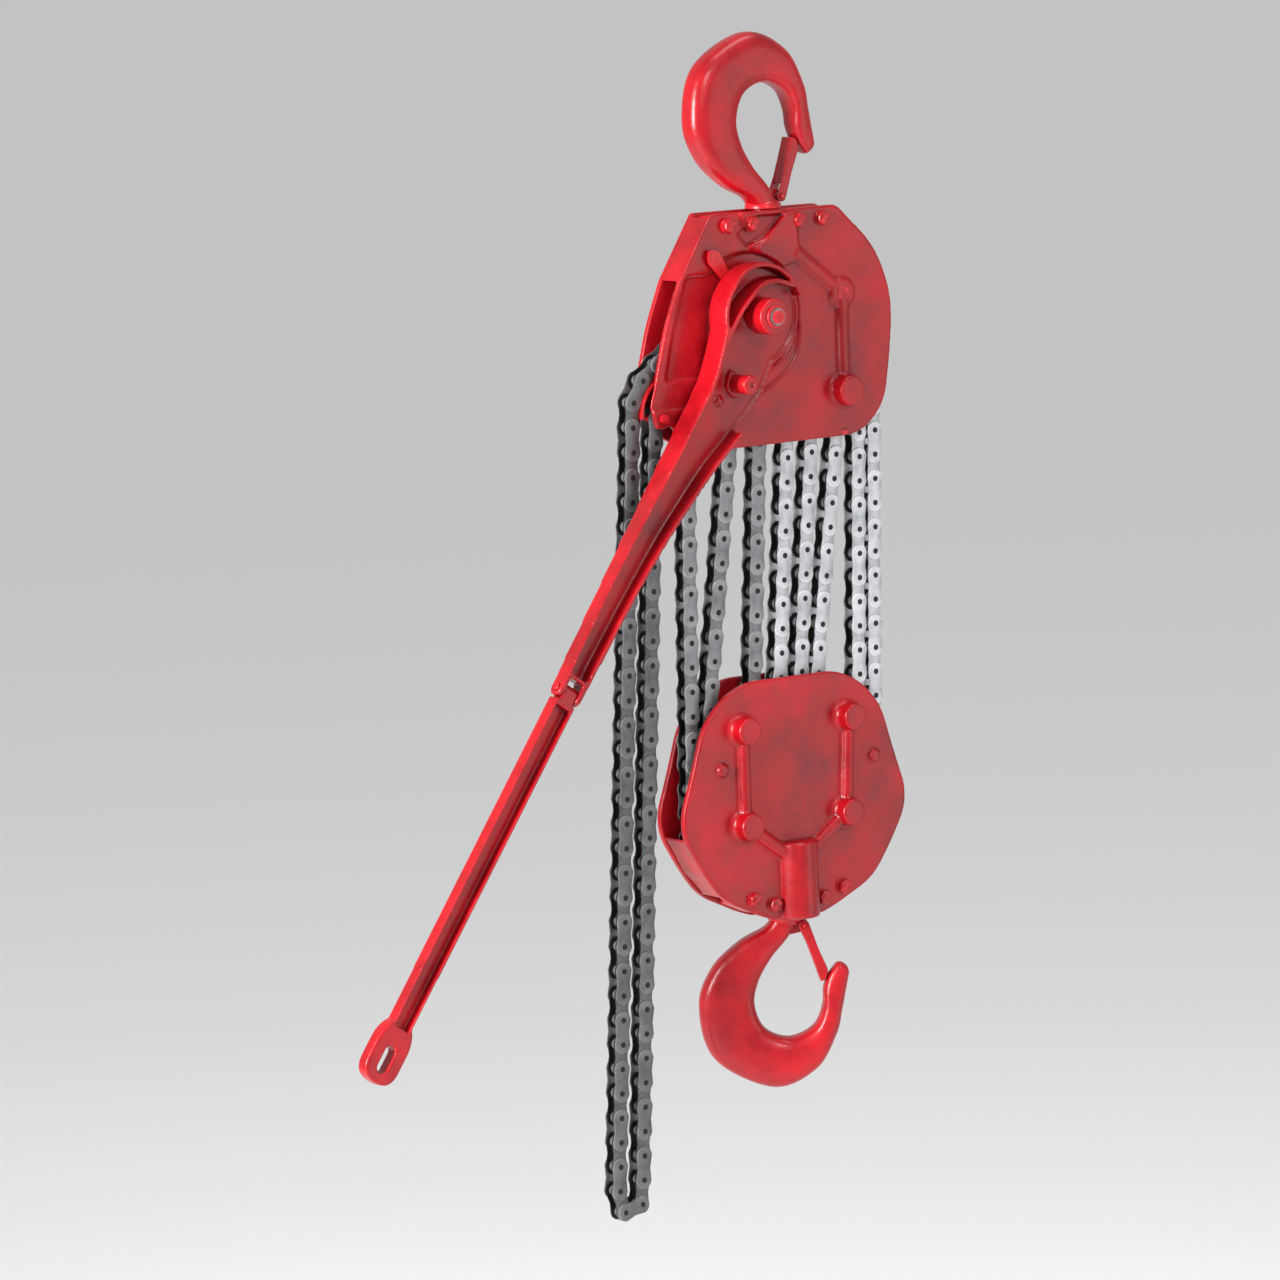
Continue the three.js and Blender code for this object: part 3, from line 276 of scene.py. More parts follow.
def bar_rib(start: tuple[float, float], end: tuple[float, float], width: float, base: float, top: float,
            fillet: float = 4.0) -> Shell:
    """Cast rib between two points of the plate: an arched section with flared feet, carried along.

    The section is a quarter ellipse on each side, standing on quarter circles.

    Args:
        start: X and Z of one end.
        end: X and Z of the other end.
        width: Width above the feet.
        base: Y of the plate's face.
        top: Y of the rib's ridge.
        fillet: Radius of the feet.

    Returns:
        A closed shell.
    """
    a, b = np.array(start, dtype=float), np.array(end, dtype=float)
    along = (b - a) / np.linalg.norm(b - a)
    across = np.array([-along[1], along[0]])
    half = width / 2
    turn = np.linspace(0, math.pi / 2, 6)
    foot = [(half + fillet * (1 - math.sin(t)), base - fillet * (1 - math.cos(t))) for t in turn]
    crown = [(half * math.cos(t), base - fillet + (top - base + fillet) * math.sin(t)) for t in turn[1:]]
    side = np.array([(half + fillet, base + 2), *foot, *crown])
    section = np.concatenate([side, side[::-1][1:] * np.array([-1, 1])])
    rings = []
    for point in (a, b):
        place = point[None, :] + across[None, :] * section[:, :1]
        rings.append(np.stack([place[:, 0], section[:, 1], place[:, 1]], axis=1))
    return tube(np.array(rings))


def spline(stations: np.ndarray, samples: int) -> np.ndarray:
    """Uniform Catmull-Rom curve through stations (K, D), sampled evenly in its parameter.

    Args:
        stations: Points (K, D) that the curve goes through.
        samples: Points to return.

    Returns:
        Points (samples, D).
    """
    ends = np.concatenate([2 * stations[:1] - stations[1:2], stations, 2 * stations[-1:] - stations[-2:-1]])
    place = np.linspace(0, len(stations) - 1, samples)
    i = np.minimum(place.astype(int), len(stations) - 2)
    t = (place - i)[:, None]
    p0, p1, p2, p3 = ends[i], ends[i + 1], ends[i + 2], ends[i + 3]
    return 0.5 * (2 * p1 + (p2 - p0) * t + (2 * p0 - 5 * p1 + 4 * p2 - p3) * t ** 2
                  + (3 * p1 - p0 - 3 * p2 + p3) * t ** 3)


# ---- shells to objects ---------------------------------------------------------------------------


def mesh_object(name: str, shell: Shell, sharp: float = 40.0) -> bpy.types.Object:
    """Makes a smooth-shaded object in metres, edges over the sharp angle kept crisp.

    Args:
        name: The object's name.
        shell: Its surface, in mm.
        sharp: Angle in degrees over which an edge stays crisp.

    Returns:
        The object, at the origin.
    """
    mesh = bpy.data.meshes.new(name)
    mesh.from_pydata((shell.points * MM).tolist(), [], shell.faces)
    work = bmesh.new()
    work.from_mesh(mesh)
    bmesh.ops.recalc_face_normals(work, faces=work.faces)
    work.to_mesh(mesh)
    work.free()
    mesh.shade_smooth()
    mesh.set_sharp_from_angle(angle=math.radians(sharp))
    obj = bpy.data.objects.new(name, mesh)
    bpy.context.collection.objects.link(obj)
    return obj


def bake_modifiers(obj: bpy.types.Object) -> None:
    """Replaces an object's mesh by what its modifiers make of it.

    Args:
        obj: The object, which keeps its name and loses its modifiers.
    """
    bpy.context.view_layer.update()
    result = bpy.data.meshes.new_from_object(obj.evaluated_get(bpy.context.evaluated_depsgraph_get()))
    old = obj.data
    obj.modifiers.clear()
    obj.data = result
    bpy.data.meshes.remove(old)


def remesh(obj: bpy.types.Object, voxel: float) -> None:
    """Unites everything in the mesh into one skin with a grid of the given size in mm.

    Args:
        obj: The object, whose parts may overlap.
        voxel: Size of the grid in mm.
    """
    skin = obj.modifiers.new("skin", "REMESH")
    skin.mode = "VOXEL"
    skin.voxel_size = voxel * MM
    skin.use_smooth_shade = True
    bake_modifiers(obj)


def shell_of(obj: bpy.types.Object) -> Shell:
    """Takes an object's mesh back as a shell and removes the object.

    Args:
        obj: The object, which is deleted.

    Returns:
        Its points in mm and its faces.
    """
    points = np.empty(len(obj.data.vertices) * 3)
    obj.data.vertices.foreach_get("co", points)
    faces = [list(face.vertices) for face in obj.data.polygons]
    bpy.data.objects.remove(obj)
    return Shell(points.reshape(-1, 3) / MM, faces)


def put_in_place(obj: bpy.types.Object, matrix: np.ndarray) -> None:
    """Carries a mesh to its place and leaves its object at the origin.

    Args:
        obj: The object whose mesh moves.
        matrix: 4 x 4 placing in mm.
    """
    placed = matrix.copy()
    placed[:3, 3] *= MM
    obj.data.transform(Matrix(placed.tolist()))


def casting(name: str, solids: list[Shell], cuts: list[Shell], voxel: float, passes: int,
            matrix: np.ndarray | None = None) -> bpy.types.Object:
    """One cast or forged piece: solids united, hollows cut, every edge and corner eased.

    Args:
        name: The piece's name.
        solids: Closed shells that the piece is made of.
        cuts: Closed shells to take away.
        voxel: Grid of the skin, in mm.
        passes: Smoothing passes; each rounds the edges a little more.
        matrix: Optional 4 x 4 placing in mm, used after the skin is made.

    Returns:
        The object, with its place in its mesh.
    """
    obj = mesh_object(name, joined(solids))
    remesh(obj, voxel)
    if cuts:
        tool = mesh_object(name + "_tool", joined(cuts))
        remesh(tool, voxel)
        cut = obj.modifiers.new("cut", "BOOLEAN")
        cut.operation = "DIFFERENCE"
        cut.solver = "MANIFOLD"
        cut.object = tool
        bake_modifiers(obj)
        bpy.data.objects.remove(tool)
        remesh(obj, voxel)
    ease = obj.modifiers.new("ease", "SMOOTH")
    ease.factor = 0.5
    ease.iterations = passes
    bake_modifiers(obj)
    if matrix is not None:
        put_in_place(obj, matrix)
    obj.data.name = name
    obj.data.shade_smooth()
    return obj


def about_y(degrees: float, x: float = 0.0, z: float = 0.0) -> np.ndarray:
    """Turn about +Y followed by a move in X and Z.

    Args:
        degrees: Angle of the turn.
        x: Move along X in mm.
        z: Move along Z in mm.

    Returns:
        A 4 x 4 matrix in mm.
    """
    c, s = math.cos(math.radians(degrees)), math.sin(math.radians(degrees))
    return np.array([[c, 0, s, x], [0, 1, 0, 0], [-s, 0, c, z], [0, 0, 0, 1]], dtype=float)


# ---- shader node groups --------------------------------------------------------------------------


class NodeGroup:
    """Builds one shader node group with named inputs and outputs."""

    def __init__(self, name: str, inputs: dict[str, float], outputs: list[str]) -> None:
        """Makes the group's sockets.

        Args:
            name: The group's name.
            inputs: Float inputs and their default values.
            outputs: Float outputs.
        """
        self.tree = bpy.data.node_groups.new(name, "ShaderNodeTree")
        for word, value in inputs.items():
            socket = self.tree.interface.new_socket(name=word, in_out="INPUT", socket_type="NodeSocketFloat")
            socket.default_value = value
        for word in outputs:
            self.tree.interface.new_socket(name=word, in_out="OUTPUT", socket_type="NodeSocketFloat")
        self.enter = self.tree.nodes.new("NodeGroupInput")
        self.leave = self.tree.nodes.new("NodeGroupOutput")

    def add(self, kind: str, **values: object) -> bpy.types.Node:
        """Adds a node and sets its properties.

        Args:
            kind: The node's type.
            values: Its properties by name.

        Returns:
            The node.
        """
        node = self.tree.nodes.new(kind)
        for word, value in values.items():
            setattr(node, word, value)
        return node

    def link(self, source: bpy.types.NodeSocket, target: bpy.types.NodeSocket) -> None:
        """Joins two sockets."""
        self.tree.links.new(source, target)

    def math(self, operation: str, first: object, second: object) -> bpy.types.NodeSocket:
        """Adds a math node; numbers are set and sockets are linked.

        Args:
            operation: What the node does.
            first: Its first value, a number or a socket.
            second: Its second value, a number or a socket.

        Returns:
            The result.
        """
        node = self.add("ShaderNodeMath", operation=operation)
        for socket, value in zip(node.inputs, (first, second)):
            if isinstance(value, bpy.types.NodeSocket):
                self.link(value, socket)
            else:
                socket.default_value = value
        return node.outputs[0]


def grain_group() -> bpy.types.NodeTree:
    """Skin of a casting or forging under paint: low waves, a sand grain and small pits, as a height.

    Height = wave_height * wave noise + grain_height * grain noise - pits, where a pit is a round spot about
    a cell centre of a Voronoi pattern.

    Returns:
        The group, with the output Height.
    """
    pit_radius, wave_height, grain_height = 0.16, 2.0, 0.35
    group = NodeGroup("cast_grain", {"Wave Scale": 60.0, "Grain Scale": 700.0, "Pits": 0.3}, ["Height"])
    place = group.add("ShaderNodeTexCoord").outputs["Object"]
    wave = group.add("ShaderNodeTexNoise")
    wave.inputs["Detail"].default_value = 2.0
    grain = group.add("ShaderNodeTexNoise")
    grain.inputs["Detail"].default_value = 3.0
    pits = group.add("ShaderNodeTexVoronoi")
    for node, word in ((wave, "Wave Scale"), (grain, "Grain Scale"), (pits, "Grain Scale")):
        group.link(place, node.inputs["Vector"])
        group.link(group.enter.outputs[word], node.inputs["Scale"])
    hollow = group.math("LESS_THAN", pits.outputs["Distance"], pit_radius)
    pitted = group.math("MULTIPLY", hollow, group.enter.outputs["Pits"])
    waves = group.math("MULTIPLY", wave.outputs["Fac"], wave_height)
    grains = group.math("MULTIPLY", grain.outputs["Fac"], grain_height)
    height = group.math("ADD", waves, grains)
    group.link(group.math("SUBTRACT", height, pitted), group.leave.inputs["Height"])
    return group.tree


def tone_group() -> bpy.types.NodeTree:
    """Slow patches of tone mixed with finer ones, from 0 to 1.

    Tone = 0.5 + (noise - 0.5) * contrast, held between 0 and 1.

    Returns:
        The group, with the output Tone.
    """
    group = NodeGroup("tone_patches", {"Scale": 12.0, "Contrast": 1.6}, ["Tone"])
    place = group.add("ShaderNodeTexCoord").outputs["Object"]
    slow = group.add("ShaderNodeTexNoise")
    slow.inputs["Detail"].default_value = 5.0
    slow.inputs["Roughness"].default_value = 0.65
    group.link(place, slow.inputs["Vector"])
    group.link(group.enter.outputs["Scale"], slow.inputs["Scale"])
    centred = group.math("SUBTRACT", slow.outputs["Fac"], 0.5)
    spread = group.math("MULTIPLY", centred, group.enter.outputs["Contrast"])
    tone = group.add("ShaderNodeClamp")
    group.link(group.math("ADD", spread, 0.5), tone.inputs["Value"])
    group.link(tone.outputs[0], group.leave.inputs["Tone"])
    return group.tree


def edge_group() -> bpy.types.NodeTree:
    """Mask of a painted highlight on proud edges, and one of painted shade in inside corners.

    Both come from how pointed the surface is: about 0.5 on a flat, more on an edge, less in a corner.

    Returns:
        The group, with the outputs Mask, for the highlight, and Hollow, for the shade.
    """
    corner_start, corner_width = 0.493, 0.05
    group = NodeGroup("edge_highlight_corner_shade", {"Start": 0.53, "Width": 0.06, "Break Scale": 90.0}, ["Mask", "Corner Shade"])
    shape = group.add("ShaderNodeNewGeometry").outputs["Pointiness"]
    place = group.add("ShaderNodeTexCoord").outputs["Object"]
    noise = group.add("ShaderNodeTexNoise")
    noise.inputs["Detail"].default_value = 4.0
    group.link(place, noise.inputs["Vector"])
    group.link(group.enter.outputs["Break Scale"], noise.inputs["Scale"])
    over = group.math("SUBTRACT", shape, group.enter.outputs["Start"])
    edge = group.add("ShaderNodeClamp")
    group.link(group.math("DIVIDE", over, group.enter.outputs["Width"]), edge.inputs["Value"])
    # Painted highlight on proud edges, broken up by noise.
    mask = group.math("MULTIPLY", edge.outputs[0], noise.outputs["Fac"])
    group.link(mask, group.leave.inputs["Mask"])
    # Painted shade in inside corners.
    under = group.math("SUBTRACT", corner_start, shape)
    hollow = group.add("ShaderNodeClamp")
    group.link(group.math("DIVIDE", under, corner_width), hollow.inputs["Value"])
    group.link(hollow.outputs[0], group.leave.inputs["Corner Shade"])
    return group.tree


def grease_and_shade_group() -> bpy.types.NodeTree:
    """Mask of a chain's grease and painted shade, by the distance from its middle plane, Y = 0, in metres.

    It is 1 on the facing sides of the inner plates, between the rollers and the plates' outer faces, where it
    stands for grease and for painted shade between the plates, and on the pins' heads beyond the outer
    plates.

    Returns:
        The group, with the output Mask.
    """
    roller_end, plate_middle, outer_face = 0.00456, 0.0061, 0.00868
    group = NodeGroup("chain_grease", {}, ["Mask"])
    place = group.add("ShaderNodeTexCoord").outputs["Object"]
    parts = group.add("ShaderNodeSeparateXYZ")
    group.link(place, parts.inputs[0])
    off = group.math("ABSOLUTE", parts.outputs["Y"], 0.0)
    # Facing sides of the inner plates: grease, and painted shade between the plates.
    inner = group.math("MULTIPLY", group.math("GREATER_THAN", off, roller_end),
                       group.math("LESS_THAN", off, plate_middle))
    head = group.math("GREATER_THAN", off, outer_face)
    group.link(group.math("MAXIMUM", inner, head), group.leave.inputs["Mask"])
    return group.tree


# ---- finishes ------------------------------------------------------------------------------------


Colour = tuple[float, float, float]


@dataclass(frozen=True)
class Finish:
    """A surface finish: two tones, a painted edge highlight, painted shade and grease, and its grain."""

    name: str
    slot: str
    light: Colour
    dark: Colour
    # Colour of the painted highlight on proud edges.
    edge_highlight: Colour
    roughness: tuple[float, float]
    metallic: float
    bump: float
    wave_scale: float
    grain_scale: float
    tone_scale: float
    pits: float = 0.3
    # Colour of painted shade in inside corners; on a chain, of its grease and the painted shade between its
    # plates.
    shade_and_grease: Colour = (0.03, 0.002, 0.003)
    coat: float = 0.0
    specular: float = 0.5
    # Whether a chain's grease and the painted shade between its plates take the place of the painted shade in
    # inside corners.
    greased_and_shaded: bool = False
    contrast: float = 2.4
    coat_roughness: float = 0.12
    bump_distance: float = 0.0005

    def material(self, groups: dict[str, bpy.types.NodeTree]) -> bpy.types.Material:
        """Builds the material from the shared groups.

        The base colour runs from dark to light by the tone patches, then to a painted highlight on proud
        edges, then to painted shade in inside corners, or on a chain to its grease and the painted shade
        between its plates. Roughness follows the tone patches.

        Args:
            groups: The shared node groups: grain, tone, edge and grease.

        Returns:
            The material.
        """
        material = bpy.data.materials.new(self.name)
        material.use_nodes = True
        tree = material.node_tree
        link = tree.links.new
        shader = tree.nodes["Principled BSDF"]
        shader.inputs["Metallic"].default_value = self.metallic
        shader.inputs["Specular IOR Level"].default_value = self.specular
        shader.inputs["Coat Weight"].default_value = self.coat
        shader.inputs["Coat Roughness"].default_value = self.coat_roughness

        def placed(name: str, values: dict[str, float]) -> bpy.types.Node:
            """Puts a shared group into this material.

            Args:
                name: Which of the groups.
                values: What its inputs are set to.

            Returns:
                The group's node.
            """
            node = tree.nodes.new("ShaderNodeGroup")
            node.node_tree = groups[name]
            for word, value in values.items():
                node.inputs[word].default_value = value
            return node

        def towards(colour: Colour, factor: bpy.types.NodeSocket) -> bpy.types.Node:
            """Adds a mix that reaches a colour where its factor is 1.

            Args:
                colour: The colour.
                factor: The socket that drives the mix.

            Returns:
                The mix, whose first colour is still to be set.
            """
            node = tree.nodes.new("ShaderNodeMix")
            node.data_type = "RGBA"
            node.inputs["B"].default_value = (*colour, 1)
            link(factor, node.inputs["Factor"])
            return node

        tone = placed("tone", {"Scale": self.tone_scale, "Contrast": self.contrast}).outputs["Tone"]
        edge_light_node = placed("edge", {})
        # Mask of painted shade: inside corners, or on a chain its grease and the painted shade between its
        # plates.
        hollow = placed("grease", {}).outputs["Mask"] if self.greased_and_shaded else edge_light_node.outputs["Corner Shade"]
        grain = placed("grain", {"Wave Scale": self.wave_scale, "Grain Scale": self.grain_scale,
                                 "Pits": self.pits}).outputs["Height"]
        ground = towards(self.light, tone)
        ground.inputs["A"].default_value = (*self.dark, 1)
        # Painted highlight on proud edges.
        edge_highlight = towards(self.edge_highlight, edge_light_node.outputs["Mask"])
        link(ground.outputs["Result"], edge_highlight.inputs["A"])
        # Painted shade in inside corners; on a chain, grease and painted shade between its plates.
        shade_mix = towards(self.shade_and_grease, hollow)
        link(edge_highlight.outputs["Result"], shade_mix.inputs["A"])
        link(shade_mix.outputs["Result"], shader.inputs["Base Color"])
        gloss = tree.nodes.new("ShaderNodeMix")
        gloss.inputs["A"].default_value, gloss.inputs["B"].default_value = self.roughness
        link(tone, gloss.inputs["Factor"])
        link(gloss.outputs["Result"], shader.inputs["Roughness"])
        bump = tree.nodes.new("ShaderNodeBump")
        bump.inputs["Strength"].default_value = self.bump
        bump.inputs["Distance"].default_value = self.bump_distance
        link(grain, bump.inputs["Height"])
        link(bump.outputs["Normal"], shader.inputs["Normal"])
        return material


def chain_finish(name: str, slot: str, light: Colour, dark: Colour, edge_highlight: Colour, shade_and_grease: Colour,
                 **values: float | tuple[float, float]) -> Finish:
    """Finish of a roller chain: fine grain, small tone patches, grease and painted shade between its plates.

    Args:
        name: The finish's name.
        slot: The material slot that it belongs to.
        light: Light tone.
        dark: Dark tone.
        edge_highlight: Colour of the painted highlight on proud edges.
        shade_and_grease: Colour of the grease and of the painted shade between the plates.
        values: What differs from chain to chain: roughness, metallic, bump and pits.

    Returns:
        The finish.
    """
    return Finish(name, slot, light, dark, edge_highlight, wave_scale=120.0, grain_scale=1500.0, tone_scale=60.0,
                  shade_and_grease=shade_and_grease, greased_and_shaded=True, **values)


class Finishes(Enum):
    """The hoist's finishes."""

    # In each finish the third colour is the painted highlight on proud edges; a chain's fourth is its grease
    # and painted shade.
    ENAMEL = Finish("red_enamel", "red_paint", (0.40, 0.0015, 0.007), (0.16, 0.001, 0.003),
                    (0.60, 0.010, 0.016), (0.27, 0.44), metallic=0.0, bump=0.85, wave_scale=45.0,
                    grain_scale=380.0, tone_scale=14.0, pits=0.6, coat=0.12, specular=0.3)
    # One chain steel in two tones: the lighter copy is painted light for the right-hand runs, the darker copy
    # painted shade for the left-hand runs.
    LIT_CHAIN = chain_finish("chain_painted_lit", "chain_steel", (0.52, 0.53, 0.55), (0.27, 0.28, 0.30),
                                (0.75, 0.75, 0.77), (0.012, 0.012, 0.013), roughness=(0.36, 0.55),
                                metallic=0.55, bump=0.3, pits=0.2)
    SHADED_CHAIN = chain_finish("chain_painted_shade", "chain_steel", (0.22, 0.225, 0.235), (0.10, 0.104, 0.11),
                              (0.45, 0.45, 0.46), (0.010, 0.010, 0.011), roughness=(0.36, 0.58),
                              metallic=0.55, bump=0.4, pits=0.3)
    DARK_CHAIN = chain_finish("dark_chain", "slack_chain_steel", (0.12, 0.123, 0.128), (0.05, 0.052, 0.055),
                              (0.22, 0.22, 0.23), (0.008, 0.008, 0.009), roughness=(0.34, 0.56),
                              metallic=0.5, bump=0.5, pits=0.4)
    STEEL = Finish("oiled_steel", "oiled_steel", (0.22, 0.215, 0.21), (0.08, 0.078, 0.075), (0.5, 0.5, 0.5),
                   (0.32, 0.5), metallic=0.8, bump=0.3, wave_scale=90.0, grain_scale=900.0, tone_scale=30.0)


# ---- shared context ------------------------------------------------------------------------------


@dataclass
class Workshop:
    """What every sub-assembly needs: the frame and the finished materials."""

    frame: dict
    materials: dict[Finishes, bpy.types.Material]

    def dress(self, obj: bpy.types.Object, body: str, finish: Finishes, *nodes: str) -> bpy.types.Object:
        """Gives a piece its finish, body and the CAD nodes it stands for.

        Args:
            obj: The piece.
            body: The body that it rides on.
            finish: Its finish.
            nodes: CAD nodes that it replaces.

        Returns:
            The piece.
        """
        obj.data.materials.clear()
        obj.data.materials.append(self.materials[finish])
        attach(obj, body)
        if nodes:
            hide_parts(*nodes)
        LOG.info("%s: %d faces on %s", obj.name, len(obj.data.polygons), body)
        return obj

    def joint_place(self, name: str) -> tuple[float, float]:
        """X and Z of a joint's axis in mm.

        Args:
            name: The joint's name.

        Returns:
            X and Z of the point that the axis goes through.
        """
        joint = next(row for row in self.frame["joints"] if row["name"] == name)
        return joint["pos_m"][0] / MM, joint["pos_m"][2] / MM


# ---- hooks ---------------------------------------------------------------------------------------


def hanging(degrees: float, saddle: float) -> np.ndarray:
    """Matrix that hangs a hook upside down: a turn about Z, then a half turn about X.

    Args:
        degrees: The hook's turn on its swivel.
        saddle: Height of its saddle in mm.

    Returns:
        A 4 x 4 matrix in mm.
    """
    c, s = math.cos(math.radians(degrees)), math.sin(math.radians(degrees))
    return np.array([[c, -s, 0, 0], [-s, -c, 0, 0], [0, 0, -1, saddle], [0, 0, 0, 1]], dtype=float)


@dataclass
class Hook:
    """Forged hook with its latch, drawn upright with the saddle at the origin."""

    shop: Workshop
    prefix: str
    body: str
    latch_body: str
    matrix: np.ndarray
    half_thick: tuple[float, ...] = (15, 15.5, 16.5, 17.6, 18, 18, 18, 17.4, 16, 14, 12, 10.5)
    inner: tuple[tuple[float, float], ...] = (
        (12, -127), (1, -106), (-17, -85), (-31, -61), (-36, -36), (-25.5, -10.5), (0, 0), (25.5, -10.5),
        (35.6, -31), (37, -50), (42, -64), (49, -73))
    outer: tuple[tuple[float, float], ...] = (
        (-15, -127), (-24, -117), (-51, -103), (-80, -76), (-94.5, -36), (-80, 20), (-20, 52.5), (26, 36),
        (49, 0), (56, -26), (60.5, -46), (64, -62))
    flatness: float = 3.0
    collar_radius: float = 19.0
    lug_half_width: float = 3.4
    latch_pivot: tuple[float, float] = (18.0, -118.0)
    latch_lean: float = 17.0
    latch_length: float = 62.0
    latch_half_width: float = 9.0

    def forging(self) -> Shell:
        """Hook body: rounded-square sections strung between its inner and outer lines.

        Section: mid + half-depth * sgn(cos a)|cos a|^(2/n) across, half-thickness * the same of sin a.
        Past the last station the sections shrink by a quarter circle to a round tip.

        Returns:
            The hook's body, with its saddle at the origin.
        """
        samples, around = 150, 56
        inner = spline(np.array(self.inner, dtype=float), samples)
        outer = spline(np.array(self.outer, dtype=float), samples)
        thick = spline(np.array(self.half_thick, dtype=float)[:, None], samples)[:, 0]
        tip = np.linspace(0, math.pi / 2, 7)[1:-1]
        middle = (inner + outer) / 2
        reach = (outer - inner) / 2
        ahead = middle[-1] - middle[-2]
        ahead /= np.linalg.norm(ahead)
        end_radius = np.linalg.norm(reach[-1])
        middle = np.concatenate([middle, middle[-1] + np.sin(tip)[:, None] * ahead * end_radius * 0.9])
        reach = np.concatenate([reach, np.cos(tip)[:, None] * reach[-1]])
        thick = np.concatenate([thick, np.cos(tip) * thick[-1]])
        angle = np.linspace(0, 2 * math.pi, around, endpoint=False)
        power = 2 / self.flatness
        across = np.sign(np.cos(angle)) * np.abs(np.cos(angle)) ** power
        through = np.sign(np.sin(angle)) * np.abs(np.sin(angle)) ** power
        plane = middle[:, None, :] + reach[:, None, :] * across[None, :, None]
        rings = np.stack([plane[..., 0], thick[:, None] * through[None, :], plane[..., 1]], axis=-1)
        return tube(rings)

    def collar(self) -> Shell:
        """Round collar that the hook turns on, above the block.

        Returns:
            A surface of revolution about Z.
        """
        angle = np.linspace(0, 2 * math.pi, 48, endpoint=False)
        radius, neck = self.collar_radius, 12
        profile = [(neck, -139), (neck, -130), (radius - 1, -129.7), (radius, -128.8), (radius, -125.5),
                   (radius - 2.5, -122.5), (neck, -119)]
        rings = [np.stack([r * np.cos(angle), r * np.sin(angle), np.full(48, z)], axis=1) for r, z in profile]
        return tube(np.array(rings))

    def build(self) -> None:
        """Makes and dresses the hook and its latch."""
        x, z = self.latch_pivot
        half = self.lug_half_width
        lug = slab(eased_outline([(-6, z - 7, 2), (x, z - 6.4, 5), (x + 6.4, z, 5), (x + 2, z + 6.4, 5),
                                  (-8, z + 12, 2)]), -half, half, 0.8)
        beside_lug = eased_outline([(x - 9, z - 9, 2), (x + 14, z - 9, 2), (x + 14, z + 14, 2),
                                    (x - 9, z + 12, 2)])
        room = [slab(beside_lug, -30, -half), slab(beside_lug, half, 30)]
        obj = casting(f"{self.prefix}_hook_forging", [self.forging()], room, 1.2, 5, self.matrix)
        piece = mesh_object(f"{self.prefix}_hook_collar", joined([self.collar(), lug]).moved(self.matrix))
        self.shop.dress(obj, self.body, Finishes.ENAMEL, f"{self.prefix}_hook")
        self.shop.dress(piece, self.body, Finishes.ENAMEL, f"{self.prefix}_hook")
        self.shop.dress(self.latch(), self.latch_body, Finishes.ENAMEL, f"{self.prefix}_latch")

    def latch(self) -> bpy.types.Object:
        """Pressed channel latch: two cheeks round the pin and a folded back.

        Returns:
            The latch, leaning back from its pin and placed with its hook.
        """
        w = self.latch_half_width
        length = self.latch_length
        side = eased_outline([(-5.6, 0, 4), (0, -5.8, 4), (5.8, 0, 4), (6.4, length * 0.45, 6),
                              (9, length * 0.86, 3), (3, length, 2), (-2.2, length, 1), (-3, 20, 4)])
        cheeks = [slab(side, low, low + 2.2) for low in (-w - 0.2, w - 2.0)]
        back = slab(eased_outline([(-2.4, 13, 0.5), (0, 13, 0.5), (0.2, length, 0.5), (-2.4, length, 0.5)]),
                    -w, w)
        hole = turned([(0, 20), (2.8, 20), (2.8, -20), (0, -20)], 0, 0, 24)
        eye = [turned([(0, y + 1.1), (5.6, y + 1.1), (5.8, y), (5.6, y - 1.1), (0, y - 1.1)], 0, 0, 32)
               for y in (-w + 0.9, w - 0.9)]
        local = about_y(self.latch_lean, *self.latch_pivot)
        return casting(f"{self.prefix}_latch_plate", [*cheeks, back, *eye], [hole], 0.55, 3,
                       self.matrix @ local)


# ---- blocks --------------------------------------------------------------------------------------


def bolt_heads(name: str, places: list[tuple[float, float]], face: float, back: float) -> bpy.types.Object:
    """Domed hexagon bolt heads on washers at the front, with peened ends at the back.

    A head is turned, then its radius shrinks by 4.5% * (1 + cos 6a) in front of the washer, which gives six
    soft flats, each head turned a little from the one before.

    Args:
        name: The name of the piece.
        places: X and Z of each bolt.
        face: Y of the front plate's face.
        back: Y of the back plate's face.

    Returns:
        One object with every head and end.
    """
    shells = []
    for index, (x, z) in enumerate(places):
        dome = [(0, face + 2), (8.4, face + 2), (8.6, face - 0.8), (7.9, face - 1.2), (7.8, face - 4.4),
                (6.9, face - 5.6), (4.0, face - 6.2), (0, face - 6.4)]
        head = turned(dome, x, z, 36)
        spread = np.arctan2(head.points[:, 2] - z, head.points[:, 0] - x) + 0.37 * index
        flats = 1 - 0.045 * (1 + np.cos(6 * spread))
        proud = head.points[:, 1] < face - 1.0
        scale = np.where(proud, flats, 1.0)[:, None]
        centre = np.array([x, z])
        head.points[:, [0, 2]] = centre + (head.points[:, [0, 2]] - centre) * scale
        shells.append(head)
        shells.append(turned([(0, back + 1.6), (3.6, back + 1.5), (5.2, back + 0.7), (5.6, back - 2),
                              (0, back - 2)], x, z, 28))
    return mesh_object(name, joined(shells), 35)


Corners = tuple[tuple[float, ...], ...]


